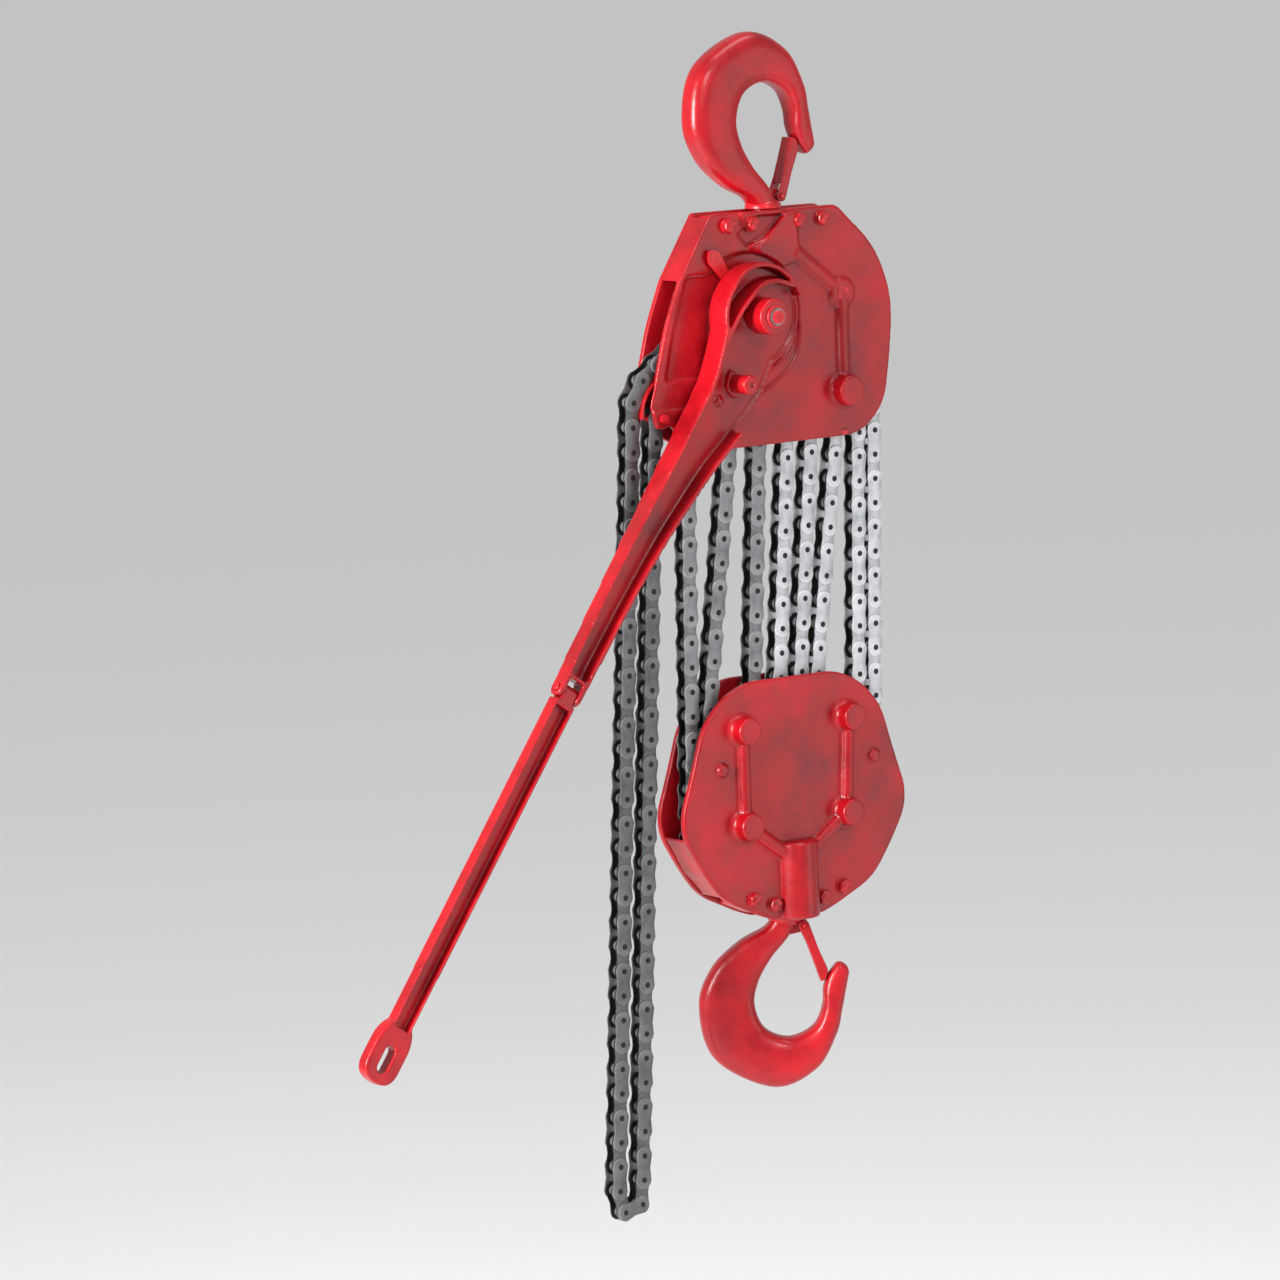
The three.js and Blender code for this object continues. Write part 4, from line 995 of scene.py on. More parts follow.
class Block:
    """What both blocks share: two plates with a gap between them, and four yoke bolts.

    Depths are counted down from the block's top.
    """

    shop: Workshop
    side: str
    top: float
    half_gap: float
    plate: float
    back_ease: float
    outline: Corners
    bolts: Corners

    @property
    def face(self) -> float:
        """Y of the back plate's outer face; the front plate's has the same distance the other way."""
        return self.half_gap + self.plate

    def level(self, depth: float) -> float:
        """Height of what lies at a depth under the top."""
        return self.top - depth

    def drop(self, points: Corners) -> list[tuple[float, ...]]:
        """Turns (x, depth) or (x, depth, ease) points into (x, z) or (x, z, ease)."""
        return [(p[0], self.level(p[1]), *p[2:]) for p in points]

    def front(self) -> bpy.types.Object:
        """Front casting, which each block makes in its own way."""
        raise NotImplementedError

    def back_bosses(self) -> list[Shell]:
        """Bosses of the back plate, which each block places in its own way."""
        raise NotImplementedError

    def build(self) -> None:
        """Makes and dresses the front casting, the back plate and the bolts."""
        body = f"{self.side}_block"
        dress = self.shop.dress
        dress(self.front(), body, Finishes.ENAMEL, f"{self.side}_front_frame")
        plate = slab(eased_outline(self.drop(self.outline)), self.half_gap, self.face, self.back_ease)
        back = mesh_object(f"{self.side}_back_plate", joined([plate, *self.back_bosses()]))
        dress(back, body, Finishes.ENAMEL, f"{self.side}_back_frame")
        bolts = bolt_heads(f"{self.side}_bolts", self.drop(self.bolts), -self.face, self.face)
        dress(bolts, body, Finishes.ENAMEL, *[f"{self.side}_yoke_bolt_{i}" for i in range(1, 5)])


@dataclass
class UpperBlock(Block):
    """Upper block: front casting with ratchet recess and ribs, back plate and bolts."""

    shop: Workshop
    side: str = "upper"
    top: float = -130.0
    half_gap: float = 14.0
    plate: float = 6.0
    back_ease: float = 1.6
    hub: tuple[float, float] = (-37.0, 106.0)
    large: tuple[float, float] = (82.0, 92.0)
    small: tuple[float, float] = (82.0, 193.0)
    left: tuple[float, float] = (-80.0, 193.0)
    outline: Corners = (
        (-80, 0, 3), (80, 0, 6), (130, 47, 26), (150, 100, 40), (146, 152, 30), (136, 212, 34),
        (104, 241, 22), (-98, 243, 12), (-128, 228, 8), (-140, 212, 5), (-147, 215, 3), (-158, 214, 4),
        (-163, 190, 5), (-156, 169, 6), (-141, 112, 20), (-122, 66, 4))
    step_edge: Corners = (
        (-230, -20, 0), (-46, -20, 0), (-40, 20, 6), (-33, 36, 10), (-12, 54, 20), (10, 79, 30),
        (24, 102, 24), (28, 122, 20), (25, 148, 20), (6, 172, 14), (-40, 196, 0), (-230, 196, 0))
    recess_radius: float = 64.0
    floor_front: float = -14.6
    floor_back: float = -10.6
    bolts: Corners = ((-60, 13), (-30, 13), (30, 13), (60, 13))

    def front(self) -> bpy.types.Object:
        """Front casting: a plate with a wall, a pad, bosses and ribs, hollowed for the ratchet.

        Returns:
            The casting, in its place.
        """
        front = -self.face
        outline = eased_outline(self.drop(self.outline))
        hub_x, hub_z = self.drop((self.hub,))[0]
        large, small = self.drop((self.large, self.small))
        floor = slab(inset_outline(outline, 0.5), self.floor_front - 1.2, self.floor_back)
        keep_floor = slab(eased_outline(self.drop((
            (-226, 58, 0), (-95, 58, 20), (-70, 40, 20), (-10, 38, 30), (31, 70, 30), (31, 140, 30),
            (0, 172, 20), (-226, 170, 0)))), -40, 40)
        floor_zone = self._common(floor, keep_floor)
        wall = slab(eased_outline(self.drop((
            (-83.5, 3, 1), (-80, 6, 1), (-118, 66, 1), (-122.5, 66, 1)))), front, self.half_gap - 0.3)
        step = slab(eased_outline(self.drop(self.step_edge)), -60, front + 2.6)
        recess = turned([(0, -60), (self.recess_radius, -60), (self.recess_radius, self.floor_front),
                         (0, self.floor_front)][::-1], hub_x, hub_z, 96)
        left = slab(eased_outline(self.drop((
            (-112, 62, 4), (-52, 62, 4), (-52, 166, 4), (-143, 166, 4), (-130, 112, 20)))),
                    -60, self.floor_front)
        hollow = slab(eased_outline(self.drop((
            (-22, 5, 1), (13, 5, 1), (-13, 28, 2), (-34, 36, 1), (-47, 23, 1)))), -60, front + 4.8)
        shaft = turned([(0, -60), (9.4, -60), (9.4, 60), (0, 60)][::-1], hub_x, hub_z, 40)
        pad = slab(eased_outline(self.drop((
            (8, 6, 3), (27, 5, 3), (27.5, 40, 6), (33, 52, 8), (6, 60, 8), (-12, 53, 6), (-26, 38, 5),
            (-12, 30, 6)))), front - 3.0, front + 1, 1.0)
        solids = [
            slab(outline, front, -self.half_gap), floor_zone, wall, pad,
            turned(fillet_boss(16.0, front, front - 17, 4.5, 2.0), *small),
            turned(fillet_boss(15.0, front, front - 4.6, 2.5, 1.4), *large),
            bar_rib(large, small, 12.5, front, front - 6.0, 3.0),
            bar_rib((24, self.level(46)), large, 13.5, front, front - 4.2, 2.0),
        ]
        return casting("upper_front_casting", solids, [step, hollow, recess, left, shaft], 1.35, 5)

    @staticmethod
    def _common(first: Shell, second: Shell) -> Shell:
        """Common part of two closed shells.

        Args:
            first: One shell.
            second: The other shell.

        Returns:
            What lies inside both.
        """
        one, two = mesh_object("one", first), mesh_object("two", second)
        both = one.modifiers.new("both", "BOOLEAN")
        both.operation = "INTERSECT"
        both.solver = "MANIFOLD"
        both.object = two
        bake_modifiers(one)
        bpy.data.objects.remove(two)
        return shell_of(one)

    def back_bosses(self) -> list[Shell]:
        """Large boss round the shaft and a low one behind each sheave.

        Returns:
            The bosses, the shaft's first.
        """
        back = self.face
        bosses = [turned([(0, 15), (26, 15), (26, back), (22, back + 1.5), (20, back + 5), (18.6, back + 6),
                          (9.6, back + 6), (9.6, 12), (0, 12)], *self.drop((self.hub,))[0])]
        low = [(0, 15), (17, 15), (17, back), (13, back + 1.2), (12, back + 2.0), (0, back + 2.0)]
        return bosses + [turned(low, x, z) for x, z in self.drop((self.large, self.small, self.left))]

    def build(self) -> None:
        """Makes and dresses the block and the large sheave's axle, which shows in its boss."""
        super().build()
        face = self.face
        pin = turned([(0, 18), (8, 18), (8, -face - 4.9), (7.2, -face - 5.6), (0, -face - 5.6)],
                     *self.drop((self.large,))[0])
        self.shop.dress(mesh_object("upper_large_axle", pin), "upper_block", Finishes.ENAMEL,
                        "upper_large_sheave_pin")


@dataclass
class LowerBlock(Block):
    """Lower block: front casting with four bosses, ribs and hook barrel, back plate and bolts."""

    shop: Workshop
    side: str = "lower"
    top: float = -615.0
    half_gap: float = 17.0
    plate: float = 7.0
    back_ease: float = 2.0
    outline: Corners = (
        (58, 0, 14), (90, 14, 20), (116, 42, 24), (131, 92, 60), (150, 145, 36), (120, 195, 24),
        (98, 224, 30), (48, 247, 12), (30, 253, 4), (-30, 253, 4), (-48, 247, 12), (-98, 224, 30),
        (-120, 195, 24), (-150, 145, 36), (-131, 92, 60), (-116, 42, 24), (-90, 14, 20), (-58, 0, 14))
    bosses: Corners = ((-67, 49), (-67, 149), (70, 49), (64, 149))
    studs: Corners = ((-94, 88), (103, 94))
    bolts: Corners = ((-58, 228), (-32, 236), (32, 236), (58, 228))
    boss_height: float = 17.0
    rib_height: float = 8.5
    barrel_radius: float = 23.0
    barrel_top: float = 172.0
    bottom: float = 253.0

    def barrel(self) -> Shell:
        """Half-round housing of the hook's shank, eased at its upper end.

        Returns:
            Rings about a line along Z, each cut flat at its back, just inside the plate.
        """
        inside = 3 - self.face
        sides = 64
        angle = np.linspace(0, 2 * math.pi, sides, endpoint=False)
        top, bottom, radius = self.barrel_top, self.bottom, self.barrel_radius
        steps = [(top, radius - 2.6), (top + 0.8, radius - 1.0), (top + 2.6, radius),
                 (bottom - 1.5, radius + 0.6), (bottom, radius - 0.8)]
        rings = [np.stack([r * np.cos(angle), np.minimum(inside + r * np.sin(angle), inside),
                           np.full(sides, self.level(depth))], axis=1) for depth, r in steps]
        return tube(np.array(rings))

    def wall(self, side: int) -> Shell:
        """Thin wall that closes the gap along a slanted lower edge.

        Args:
            side: +1 for the right edge, -1 for the left one.

        Returns:
            A closed shell from the front plate to just before the back plate.
        """
        corners = self.drop(((140.5, 157, 1), (118.3, 195.5, 3), (94.3, 222.6, 1), (92, 220.6, 1),
                             (115.8, 193.8, 3), (138, 155.4, 1)))
        return slab(eased_outline([(side * x, z, ease) for x, z, ease in corners]), 1 - self.face,
                    self.half_gap - 0.3)

    def front(self) -> bpy.types.Object:
        """Front casting: a plate with two walls, the hook's barrel, bosses, studs and ribs.

        Returns:
            The casting, in its place.
        """
        front = -self.face
        bosses, studs = self.drop(self.bosses), self.drop(self.studs)
        left_small, left_large, right_small, right_large = bosses
        barrel_point = (0.0, self.level(self.barrel_top + 24))
        rib = front - self.rib_height
        solids = [
            slab(eased_outline(self.drop(self.outline)), front, -self.half_gap), self.barrel(),
            self.wall(-1), self.wall(1),
            *[turned(fillet_boss(14.2, front, front - self.boss_height, 6.0, 1.8), x, z) for x, z in bosses],
            *[turned(fillet_boss(6.4, front, front - 4.6, 2.0, 1.6), x, z, 28) for x, z in studs],
            bar_rib(left_small, left_large, 12.5, front, rib),
            bar_rib(right_small, right_large, 12.5, front, rib),
            bar_rib(left_large, barrel_point, 12.5, front, rib + 0.5),
            bar_rib(right_large, barrel_point, 12.5, front, rib + 0.5),
        ]
        return casting("lower_front_casting", solids, [], 1.35, 6)

    def back_bosses(self) -> list[Shell]:
        """Low bosses, one behind each sheave.

        Returns:
            The bosses, in the order of the front ones.
        """
        back = self.face
        low = [(0, 18), (17, 18), (17, back), (13.4, back + 1.2), (12.4, back + 2.2), (0, back + 2.2)]
        return [turned(low, x, z) for x, z in self.drop(self.bosses)]


# ---- lever ---------------------------------------------------------------------------------------


@dataclass
class Lever:
    """Ratchet lever: ring head with hub, channel arm, pawl knob and folding lower arm with its eye."""

    shop: Workshop
    lean: float = 35.0
    back: float = -24.0
    web: float = 6.0
    head_radius: float = 55.0
    upper_depth: float = 20.0
    lower_depth: float = 15.0
    rim: float = 4.6
    hub_radius: float = 19.0
    hub_front: float = -66.0
    neck: tuple[float, float] = (23.5, -95.0)
    right_edge: tuple[tuple[float, float], ...] = (
        (15, -430), (16.5, -340), (20, -260), (25, -210), (31, -165), (39.5, -127), (47, -92), (51.5, -62))
    proud: float = 11.0
    arm_half: float = 15.0
    knuckle: float = -444.0
    knuckle_radius: float = 9.3
    ear_inside: float = 8.9
    tongue_half: float = 8.6
    lower_half: float = 12.5
    eye: float = -862.0
    eye_half: float = 21.0
    eye_end: float = 26.0
    slot_half: float = 6.5
    slot_length: float = 30.0
    knob: tuple[float, float] = (14.0, -73.0)
    knob_radius: float = 9.8

    def placing(self) -> np.ndarray:
        """The lever's turn and place."""
        return about_y(self.lean, *self.shop.joint_place("lever_swing"))

    def head_outline(self) -> np.ndarray:
        """Round head that runs into the tapering arm.

        The ring is joined on the right by a curve through the edge's points, and on the left by a quadratic
        curve down to the neck.

        Returns:
            Points (N, 2) in X and Z about the hub.
        """
        angle = np.radians(np.linspace(-32, 226, 70))
        ring = self.head_radius * np.stack([np.cos(angle), np.sin(angle)], axis=1)
        half, at = self.neck
        end = self.knuckle + 14
        flow = np.linspace(1, 0, 14)[:, None]
        start, bend = np.array([-half, at]), np.array([-half - 4.5, at + 26])
        left = (1 - flow) ** 2 * start + 2 * flow * (1 - flow) * bend + flow ** 2 * ring[-1]
        right = spline(np.array(self.right_edge, dtype=float), 40)
        return np.concatenate([right, ring, left[1:], np.array([[-self.arm_half, end]])])

    @property
    def middle(self) -> float:
        """Y of the arms' middle plane."""
        return self.back - self.upper_depth / 2

    def ears(self, low: float, high: float, y_half: float, top: float) -> Shell:
        """Rounded lug about the fold pin, from X low to X high.

        Args:
            low: X of one side.
            high: X of the other side.
            y_half: Half its depth in Y.
            top: Height of its square end.

        Returns:
            A closed shell.
        """
        middle = self.middle
        angle = np.linspace(math.pi, 2 * math.pi, 24)
        square = np.array([[middle + y_half, top], [middle - y_half, top]])
        round_end = np.stack([middle + y_half * np.cos(angle),
                              self.knuckle + self.knuckle_radius * np.sin(angle)], axis=1)
        loop = np.concatenate([square, round_end])
        rings = [np.stack([np.full(len(loop), x), loop[:, 0], loop[:, 1]], axis=1) for x in (low, high)]
        return tube(np.array(rings))

    def across(self, ends: list[tuple[float, float]], sides: int) -> Shell:
        """Surface of revolution about the fold pin's line, along X.

        Args:
            ends: (x, radius) pairs from left to right.
            sides: Points round each ring.

        Returns:
            A closed shell.
        """
        angle = np.linspace(0, 2 * math.pi, sides, endpoint=False)
        rings = [np.stack([np.full(sides, x), self.middle + r * np.cos(angle),
                           self.knuckle + r * np.sin(angle)], axis=1) for x, r in ends]
        return tube(np.array(rings))

    def pin(self, radius: float, half: float) -> Shell:
        """Round bar across the arm at the fold, of the given radius and half length."""
        return self.across([(-half, radius * 0.8), (-half + 0.8, radius), (half - 0.8, radius),
                            (half, radius * 0.8)], 32)

    def head(self) -> bpy.types.Object:
        """Head and upper arm: a pocketed channel with the hub, the pawl's bracket, a rib, ears and rivets.

        Returns:
            The arm, in its place.
        """
        front = self.back - self.upper_depth
        web = self.back - self.web
        x, z = self.knob
        bracket = slab(eased_outline([(x - 15, z + 9, 7), (x - 8, z - 12, 8), (x + 10, z - 14, 9),
                                      (x + 15, z + 8, 8)]), web - 6.0, self.back, 1.2)
        hub = turned([(0, self.back + 0.2), (22, self.back), (22, web), (18, web - 1.2), (15.4, web - 4),
                      (self.hub_radius, web - 9), (self.hub_radius, self.hub_front + 1.4),
                      (self.hub_radius - 1.4, self.hub_front), (0, self.hub_front)], 0, 0, 64)
        ears = [self.ears(low, high, self.knuckle_radius, self.knuckle + 20)
                for low, high in ((self.ear_inside, self.arm_half), (-self.arm_half, -self.ear_inside))]
        rivets = [turned(fillet_boss(4.6, web, web - 3.0, 1.0, 1.8), *place, 24)
                  for place in ((-17, -60), (8, -98))]
        holes = [turned([(0, 0), (9.2, 0), (9.2, -90), (0, -90)], 0, 0, 40),
                 turned([(0, 0), (4.8, 0), (4.8, -90), (0, -90)], x, z, 28), self.pin(4.3, 40)]
        solids = [self._blank(front, web), bracket, hub, self._inner_ring(front, web), *ears, *rivets]
        obj = casting("lever_arm", solids, holes, 1.1, 4)
        self._raise_flange(obj)
        put_in_place(obj, self.placing())
        return obj

    def _blank(self, front: float, web: float) -> Shell:
        """Channel of the head and the upper arm, open at the head's right side and round the knuckle.

        Args:
            front: Y of the rim's front.
            web: Y of the web's front.

        Returns:
            The channel as a shell, before anything is set on it.
        """
        outline = self.head_outline()
        body = slab(outline, front, self.back)
        pocket = slab(inset_outline(outline, self.rim), front - 10, web)
        open_side = slab(eased_outline([(30, 50, 10), (90, 50, 0), (90, -116, 0), (36, -116, 2),
                                        (38, -90, 20), (36, -20, 30)]), front - 10, web - 2.6)
        half, low, high = self.ear_inside, self.knuckle, self.knuckle + 12.3
        knuckle = eased_outline([(-half, low, 0), (half, low, 0), (half, high, 0), (-half, high, 0)])
        room = slab(knuckle, -70, 0)
        return shell_of(casting("arm_blank", [body], [pocket, open_side, room], 1.1, 0))

    def _raise_flange(self, obj: bpy.types.Object) -> None:
        """Deepens the rim about the neck.

        Points in front of the web move forward by up to the proud height, in proportion to how far in front
        they are, times a smooth step that is 1 from the hub's level to the neck and 0 at the head's top and
        well down the arm. The hub and the pawl's bracket stay.

        Args:
            obj: The arm, before it is placed.
        """
        points = np.empty(len(obj.data.vertices) * 3)
        obj.data.vertices.foreach_get("co", points)
        points = points.reshape(-1, 3) / MM
        x, y, z = points.T
        upper = np.clip((58 - z) / 60, 0, 1)
        lower = np.clip((z + 330) / 190, 0, 1)
        weight = upper ** 2 * (3 - 2 * upper) * lower ** 2 * (3 - 2 * lower)
        weight = weight * np.where(x > 0, 0.45, 1.0)
        kept = (np.hypot(x, z) < 24) | (np.hypot(x - self.knob[0], z - self.knob[1]) < 17)
        front_of_web = np.clip((self.back - self.web - 2 - y) / (self.upper_depth - self.web - 2), 0, 1.2)
        points[:, 1] = y - np.where(kept, 0.0, self.proud * weight * front_of_web)
        obj.data.vertices.foreach_set("co", (points * MM).ravel())
        obj.data.update()

    def _inner_ring(self, front: float, web: float) -> Shell:
        """Curled rib that carries the arm's left flange round the hub.

        Args:
            front: Y of the rib's front.
            web: Y of the web's front.

        Returns:
            A strip of even width along a curve, as a closed shell.
        """
        half_width = 2.4
        line = spline(np.array([(-19, -112), (-24, -80), (-30, -56), (-32, -30), (-30, -2), (-21, 24),
                                (-3, 40), (18, 47)], dtype=float), 50)
        along = np.gradient(line, axis=0)
        along /= np.linalg.norm(along, axis=1, keepdims=True)
        across = half_width * np.stack([-along[:, 1], along[:, 0]], axis=1)
        return slab(np.concatenate([line + across, (line - across)[::-1]]), front, web + 1)

    def grip(self) -> bpy.types.Object:
        """Lower arm with its tongue and end eye.

        Returns:
            The arm, in its place.
        """
        front, back = self.middle - self.lower_depth / 2, self.middle + self.lower_depth / 2
        top = self.knuckle - self.knuckle_radius - 1.2
        eye_top = self.eye + self.eye_end
        w, tongue = self.lower_half, self.tongue_half
        arm = eased_outline([(-w, top, 0), (w, top, 0), (w - 0.6, eye_top + 8, 0),
                             (-w + 0.6, eye_top + 8, 0)])
        pocket = inset_outline(eased_outline([(-w, top - 3, 0), (w, top - 3, 0), (w - 0.6, eye_top + 6, 0),
                                              (-w + 0.6, eye_top + 6, 0)]), 3.8)
        eye = eased_outline([
            (-self.eye_half, eye_top - 2, 16), (-w, eye_top + 16, 10), (w, eye_top + 16, 10),
            (self.eye_half, eye_top - 2, 16), (self.eye_half, self.eye - self.eye_end, 24),
            (-self.eye_half, self.eye - self.eye_end, 24)], 16)
        solids = [slab(arm, front, back), slab(eye, front, back, 2.2),
                  self.ears(-tongue, tongue, self.lower_depth / 2, self.knuckle + 0.5),
                  self.across([(-tongue, self.lower_depth / 2), (tongue, self.lower_depth / 2)], 40),
                  slab(eased_outline([(-tongue, top - 7, 0), (tongue, top - 7, 0), (tongue, self.knuckle, 0),
                                      (-tongue, self.knuckle, 0)]), front, back)]
        cuts = [slab(pocket, front - 10, back - 5.0), slab(self._eye_slot(), -90, 0), self.pin(4.3, 40)]
        return casting("lever_lower_arm", solids, cuts, 1.0, 4, self.placing())

    def _eye_slot(self) -> np.ndarray:
        """Outline of the end eye's slot.

        Returns:
            Two half circles, the lower one the upper one turned half round about the eye's centre.
        """
        angle = np.linspace(0, math.pi, 20)
        end = self.slot_length / 2 - self.slot_half
        upper = self.slot_half * np.stack([np.cos(angle), np.sin(angle)], axis=1) + (0, self.eye + end)
        return np.concatenate([upper, -(upper - (0, self.eye)) + (0, self.eye)])

    def build(self) -> None:
        """Makes and dresses the arms, the fold pin, the pawl's knob and the end of the shaft."""
        dress = self.shop.dress
        place = self.placing()
        dress(self.head(), "lever", Finishes.ENAMEL, "lever_head")
        dress(self.grip(), "lever_grip", Finishes.ENAMEL, "lever_grip")
        pin = self.pin(4.0, self.arm_half + 1.2).moved(place)
        dress(mesh_object("fold_pin", pin), "lever", Finishes.ENAMEL, "lever_fold_pin")
        dress(mesh_object("pawl_grip", self.knob_shell().moved(place)), "pawl_knob", Finishes.ENAMEL,
              "pawl_knob")
        dress(mesh_object("shaft_end", self.shaft_end()), "load_shaft", Finishes.ENAMEL)

    def knob_shell(self) -> Shell:
        """Turned knob on its stem, with a small dimpled end.

        Returns:
            The knob, about its own line along Y.
        """
        base = self.back - self.web - 6.4
        end = base - 26
        profile = [(0, self.back + 3), (4.5, self.back + 3), (4.5, base + 0.5), (8.6, base), (9.6, base - 1),
                   (self.knob_radius, base - 3), (self.knob_radius, end + 2), (9.0, end + 0.6),
                   (7.6, end), (3.0, end + 0.1), (2.2, end + 1.6), (0, end + 1.6)]
        return turned(profile, *self.knob)

    def shaft_end(self) -> Shell:
        """Washer and hexagon nut in front of the hub.

        Returns:
            Both, about the lever's own line.
        """
        place = self.shop.joint_place("lever_swing")
        hub = self.hub_front
        washer = turned([(0, hub - 0.4), (11.5, hub - 0.4), (11.9, hub - 1.2), (11.2, hub - 2.2),
                         (0, hub - 2.2)], *place, 40)
        nut = turned([(0, hub - 1), (7.4, hub - 1), (7.4, hub - 6.2), (6.4, hub - 7.0), (0, hub - 7.0)],
                     *place, 6)
        return joined([washer, nut])


# ---- chain ---------------------------------------------------------------------------------------


@dataclass
class Wheel:
    """A chain wheel seen along its axle: centre and pitch radius in mm."""

    x: float
    z: float
    teeth: int = 0
    pitch: float = 25.4

    @property
    def radius(self) -> float:
        """Pitch radius from the tooth count, or 0 for a bare pin."""
        return self.pitch / (2 * math.sin(math.pi / self.teeth)) if self.teeth else 0.0

    def arc(self, start: float, end: float) -> np.ndarray:
        """Points on the pitch circle between two angles, 2 degrees apart.

        Args:
            start: First angle in radians.
            end: Last angle, past the first one either way.

        Returns:
            Points (N, 2) in X and Z.
        """
        count = max(int(abs(end - start) / math.radians(2)), 2)
        angle = np.linspace(start, end, count)
        return np.stack([self.x + self.radius * np.cos(angle), self.z + self.radius * np.sin(angle)], axis=1)


@dataclass
class Stretch:
    """One named run of chain: its line, the bodies it rides on, its finish and the CAD node it stands for."""

    name: str
    line: np.ndarray
    bodies: tuple[str, ...]
    finish: Finishes
    node: str


@dataclass
class RollerChain:
    """The hoist's chain as real links along its whole route."""

    shop: Workshop
    pitch: float = 25.4
    plate_radius: float = 9.5
    waist: float = 7.5
    plate: float = 1.9
    chamfer: float = 0.55
    inner_y: float = 4.6
    outer_y: float = 6.7
    roller_radius: float = 5.6
    pin_radius: float = 3.0
    pin_end: float = 9.25
    slack_drift: float = 50.0
    slack_x: float = -180.0
    anchor: tuple[float, float] = (-150.0, -334.0)
    guide: tuple[float, float] = (-130.0, -330.0)
    guide_radius: float = 50.0
    dead_end: tuple[float, float] = (82.0, -366.0)
    bottom: float = -1163.0

    def wheel(self, joint: str, teeth: int) -> Wheel:
        """Wheel on a joint of the frame."""
        return Wheel(*self.shop.joint_place(joint), teeth)

    @staticmethod
    def fall(upper: Wheel, upper_side: int, lower: Wheel, lower_side: int) -> tuple[float, np.ndarray]:
        """Straight run that touches two wheels on given sides.

        Args:
            upper: The upper wheel.
            upper_side: Side on which it leaves the upper wheel, +1 right or -1 left.
            lower: The lower wheel.
            lower_side: Side on which it meets the lower wheel.

        Returns:
            The angle of its normal and its top and bottom points.
        """
        dx, dz = lower.x - upper.x, lower.z - upper.z
        swing = (upper_side * upper.radius - lower_side * lower.radius) / math.hypot(dx, dz)
        angle = math.atan2(dz, dx) + math.acos(swing)
        normal = np.array([math.cos(angle), math.sin(angle)])
        top = np.array([upper.x, upper.z]) + upper_side * upper.radius * normal
        bottom = np.array([lower.x, lower.z]) + lower_side * lower.radius * normal
        return angle, np.array([top, bottom])

    def stretches(self) -> list[Stretch]:
        """The whole route from the dead end, through both blocks, to the slack anchor.

        Returns:
            The stretches in the order in which the chain runs through them.
        """
        load = self.wheel("load_sprocket_spin", 6)
        upper_left = self.wheel("upper_left_sheave_spin", 7)
        upper_large = self.wheel("upper_large_sheave_spin", 13)
        upper_right = self.wheel("upper_right_sheave_spin", 7)
        left_small = self.wheel("lower_left_small_spin", 7)
        left_large = self.wheel("lower_left_large_spin", 13)
        right_large = self.wheel("lower_right_large_spin", 13)
        right_small = self.wheel("lower_right_small_spin", 7)
        dead_angle, dead_end = self.fall(Wheel(*self.dead_end), 1, right_small, -1)
        right_in_angle, right_inner = self.fall(upper_right, 1, right_small, 1)
        mid_right_angle, middle_right = self.fall(upper_right, -1, right_large, -1)
        right_out_angle, right_outer = self.fall(upper_large, 1, right_large, 1)
        middle_angle, middle = self.fall(upper_large, -1, left_large, 1)
        left_out_angle, left_outer = self.fall(upper_left, -1, left_large, -1)
        left_in_angle, left_inner = self.fall(upper_left, 1, left_small, -1)
        load_angle, load_fall = self.fall(load, 1, left_small, 1)
        half, full = math.pi, 2 * math.pi
        blocks = ("upper_block", "lower_block")
        upper, lower = ("upper_block",), ("lower_block",)
        # The same chain is painted lighter on the right-hand runs and darker on the left-hand runs, as
        # painted light and shade.
        lit_copy, shaded_copy = Finishes.LIT_CHAIN, Finishes.SHADED_CHAIN
        right_small_chain, right_large_chain = "lower_right_small_chain", "lower_right_large_chain"
        left_small_chain, left_large_chain = "lower_left_small_chain", "lower_left_large_chain"
        return [
            Stretch("fall_dead_end", dead_end, blocks, lit_copy, right_small_chain),
            Stretch("wrap_lower_right_small", right_small.arc(dead_angle + half, right_in_angle + full),
                    lower, lit_copy, right_small_chain),
            Stretch("fall_right_inner", right_inner[::-1], blocks, lit_copy, right_small_chain),
            Stretch("wrap_upper_right", upper_right.arc(right_in_angle, mid_right_angle + half), upper,
                    lit_copy, "upper_right_chain"),
            Stretch("fall_middle_right", middle_right, blocks, lit_copy, right_large_chain),
            Stretch("wrap_lower_right_large", right_large.arc(mid_right_angle + half, right_out_angle + full),
                    lower, lit_copy, right_large_chain),
            Stretch("fall_right_outer", right_outer[::-1], blocks, lit_copy, right_large_chain),
            Stretch("wrap_upper_large", upper_large.arc(right_out_angle, middle_angle + half), upper, lit_copy,
                    "upper_large_chain"),
            Stretch("fall_middle", middle, blocks, lit_copy, left_large_chain),
            Stretch("wrap_lower_left_large", left_large.arc(middle_angle, left_out_angle - half), lower, shaded_copy,
                    left_large_chain),
            Stretch("fall_left_outer", left_outer[::-1], blocks, shaded_copy, left_large_chain),
            Stretch("wrap_upper_left", upper_left.arc(left_out_angle + half, left_in_angle), upper, shaded_copy,
                    "upper_left_chain"),
            Stretch("fall_left_inner", left_inner, blocks, shaded_copy, left_small_chain),
            Stretch("wrap_lower_left_small", left_small.arc(left_in_angle + half, load_angle + full), lower,
                    shaded_copy, left_small_chain),
            Stretch("fall_load", load_fall[::-1], blocks, shaded_copy, left_small_chain),
            *self.slack(load, load_angle),
        ]

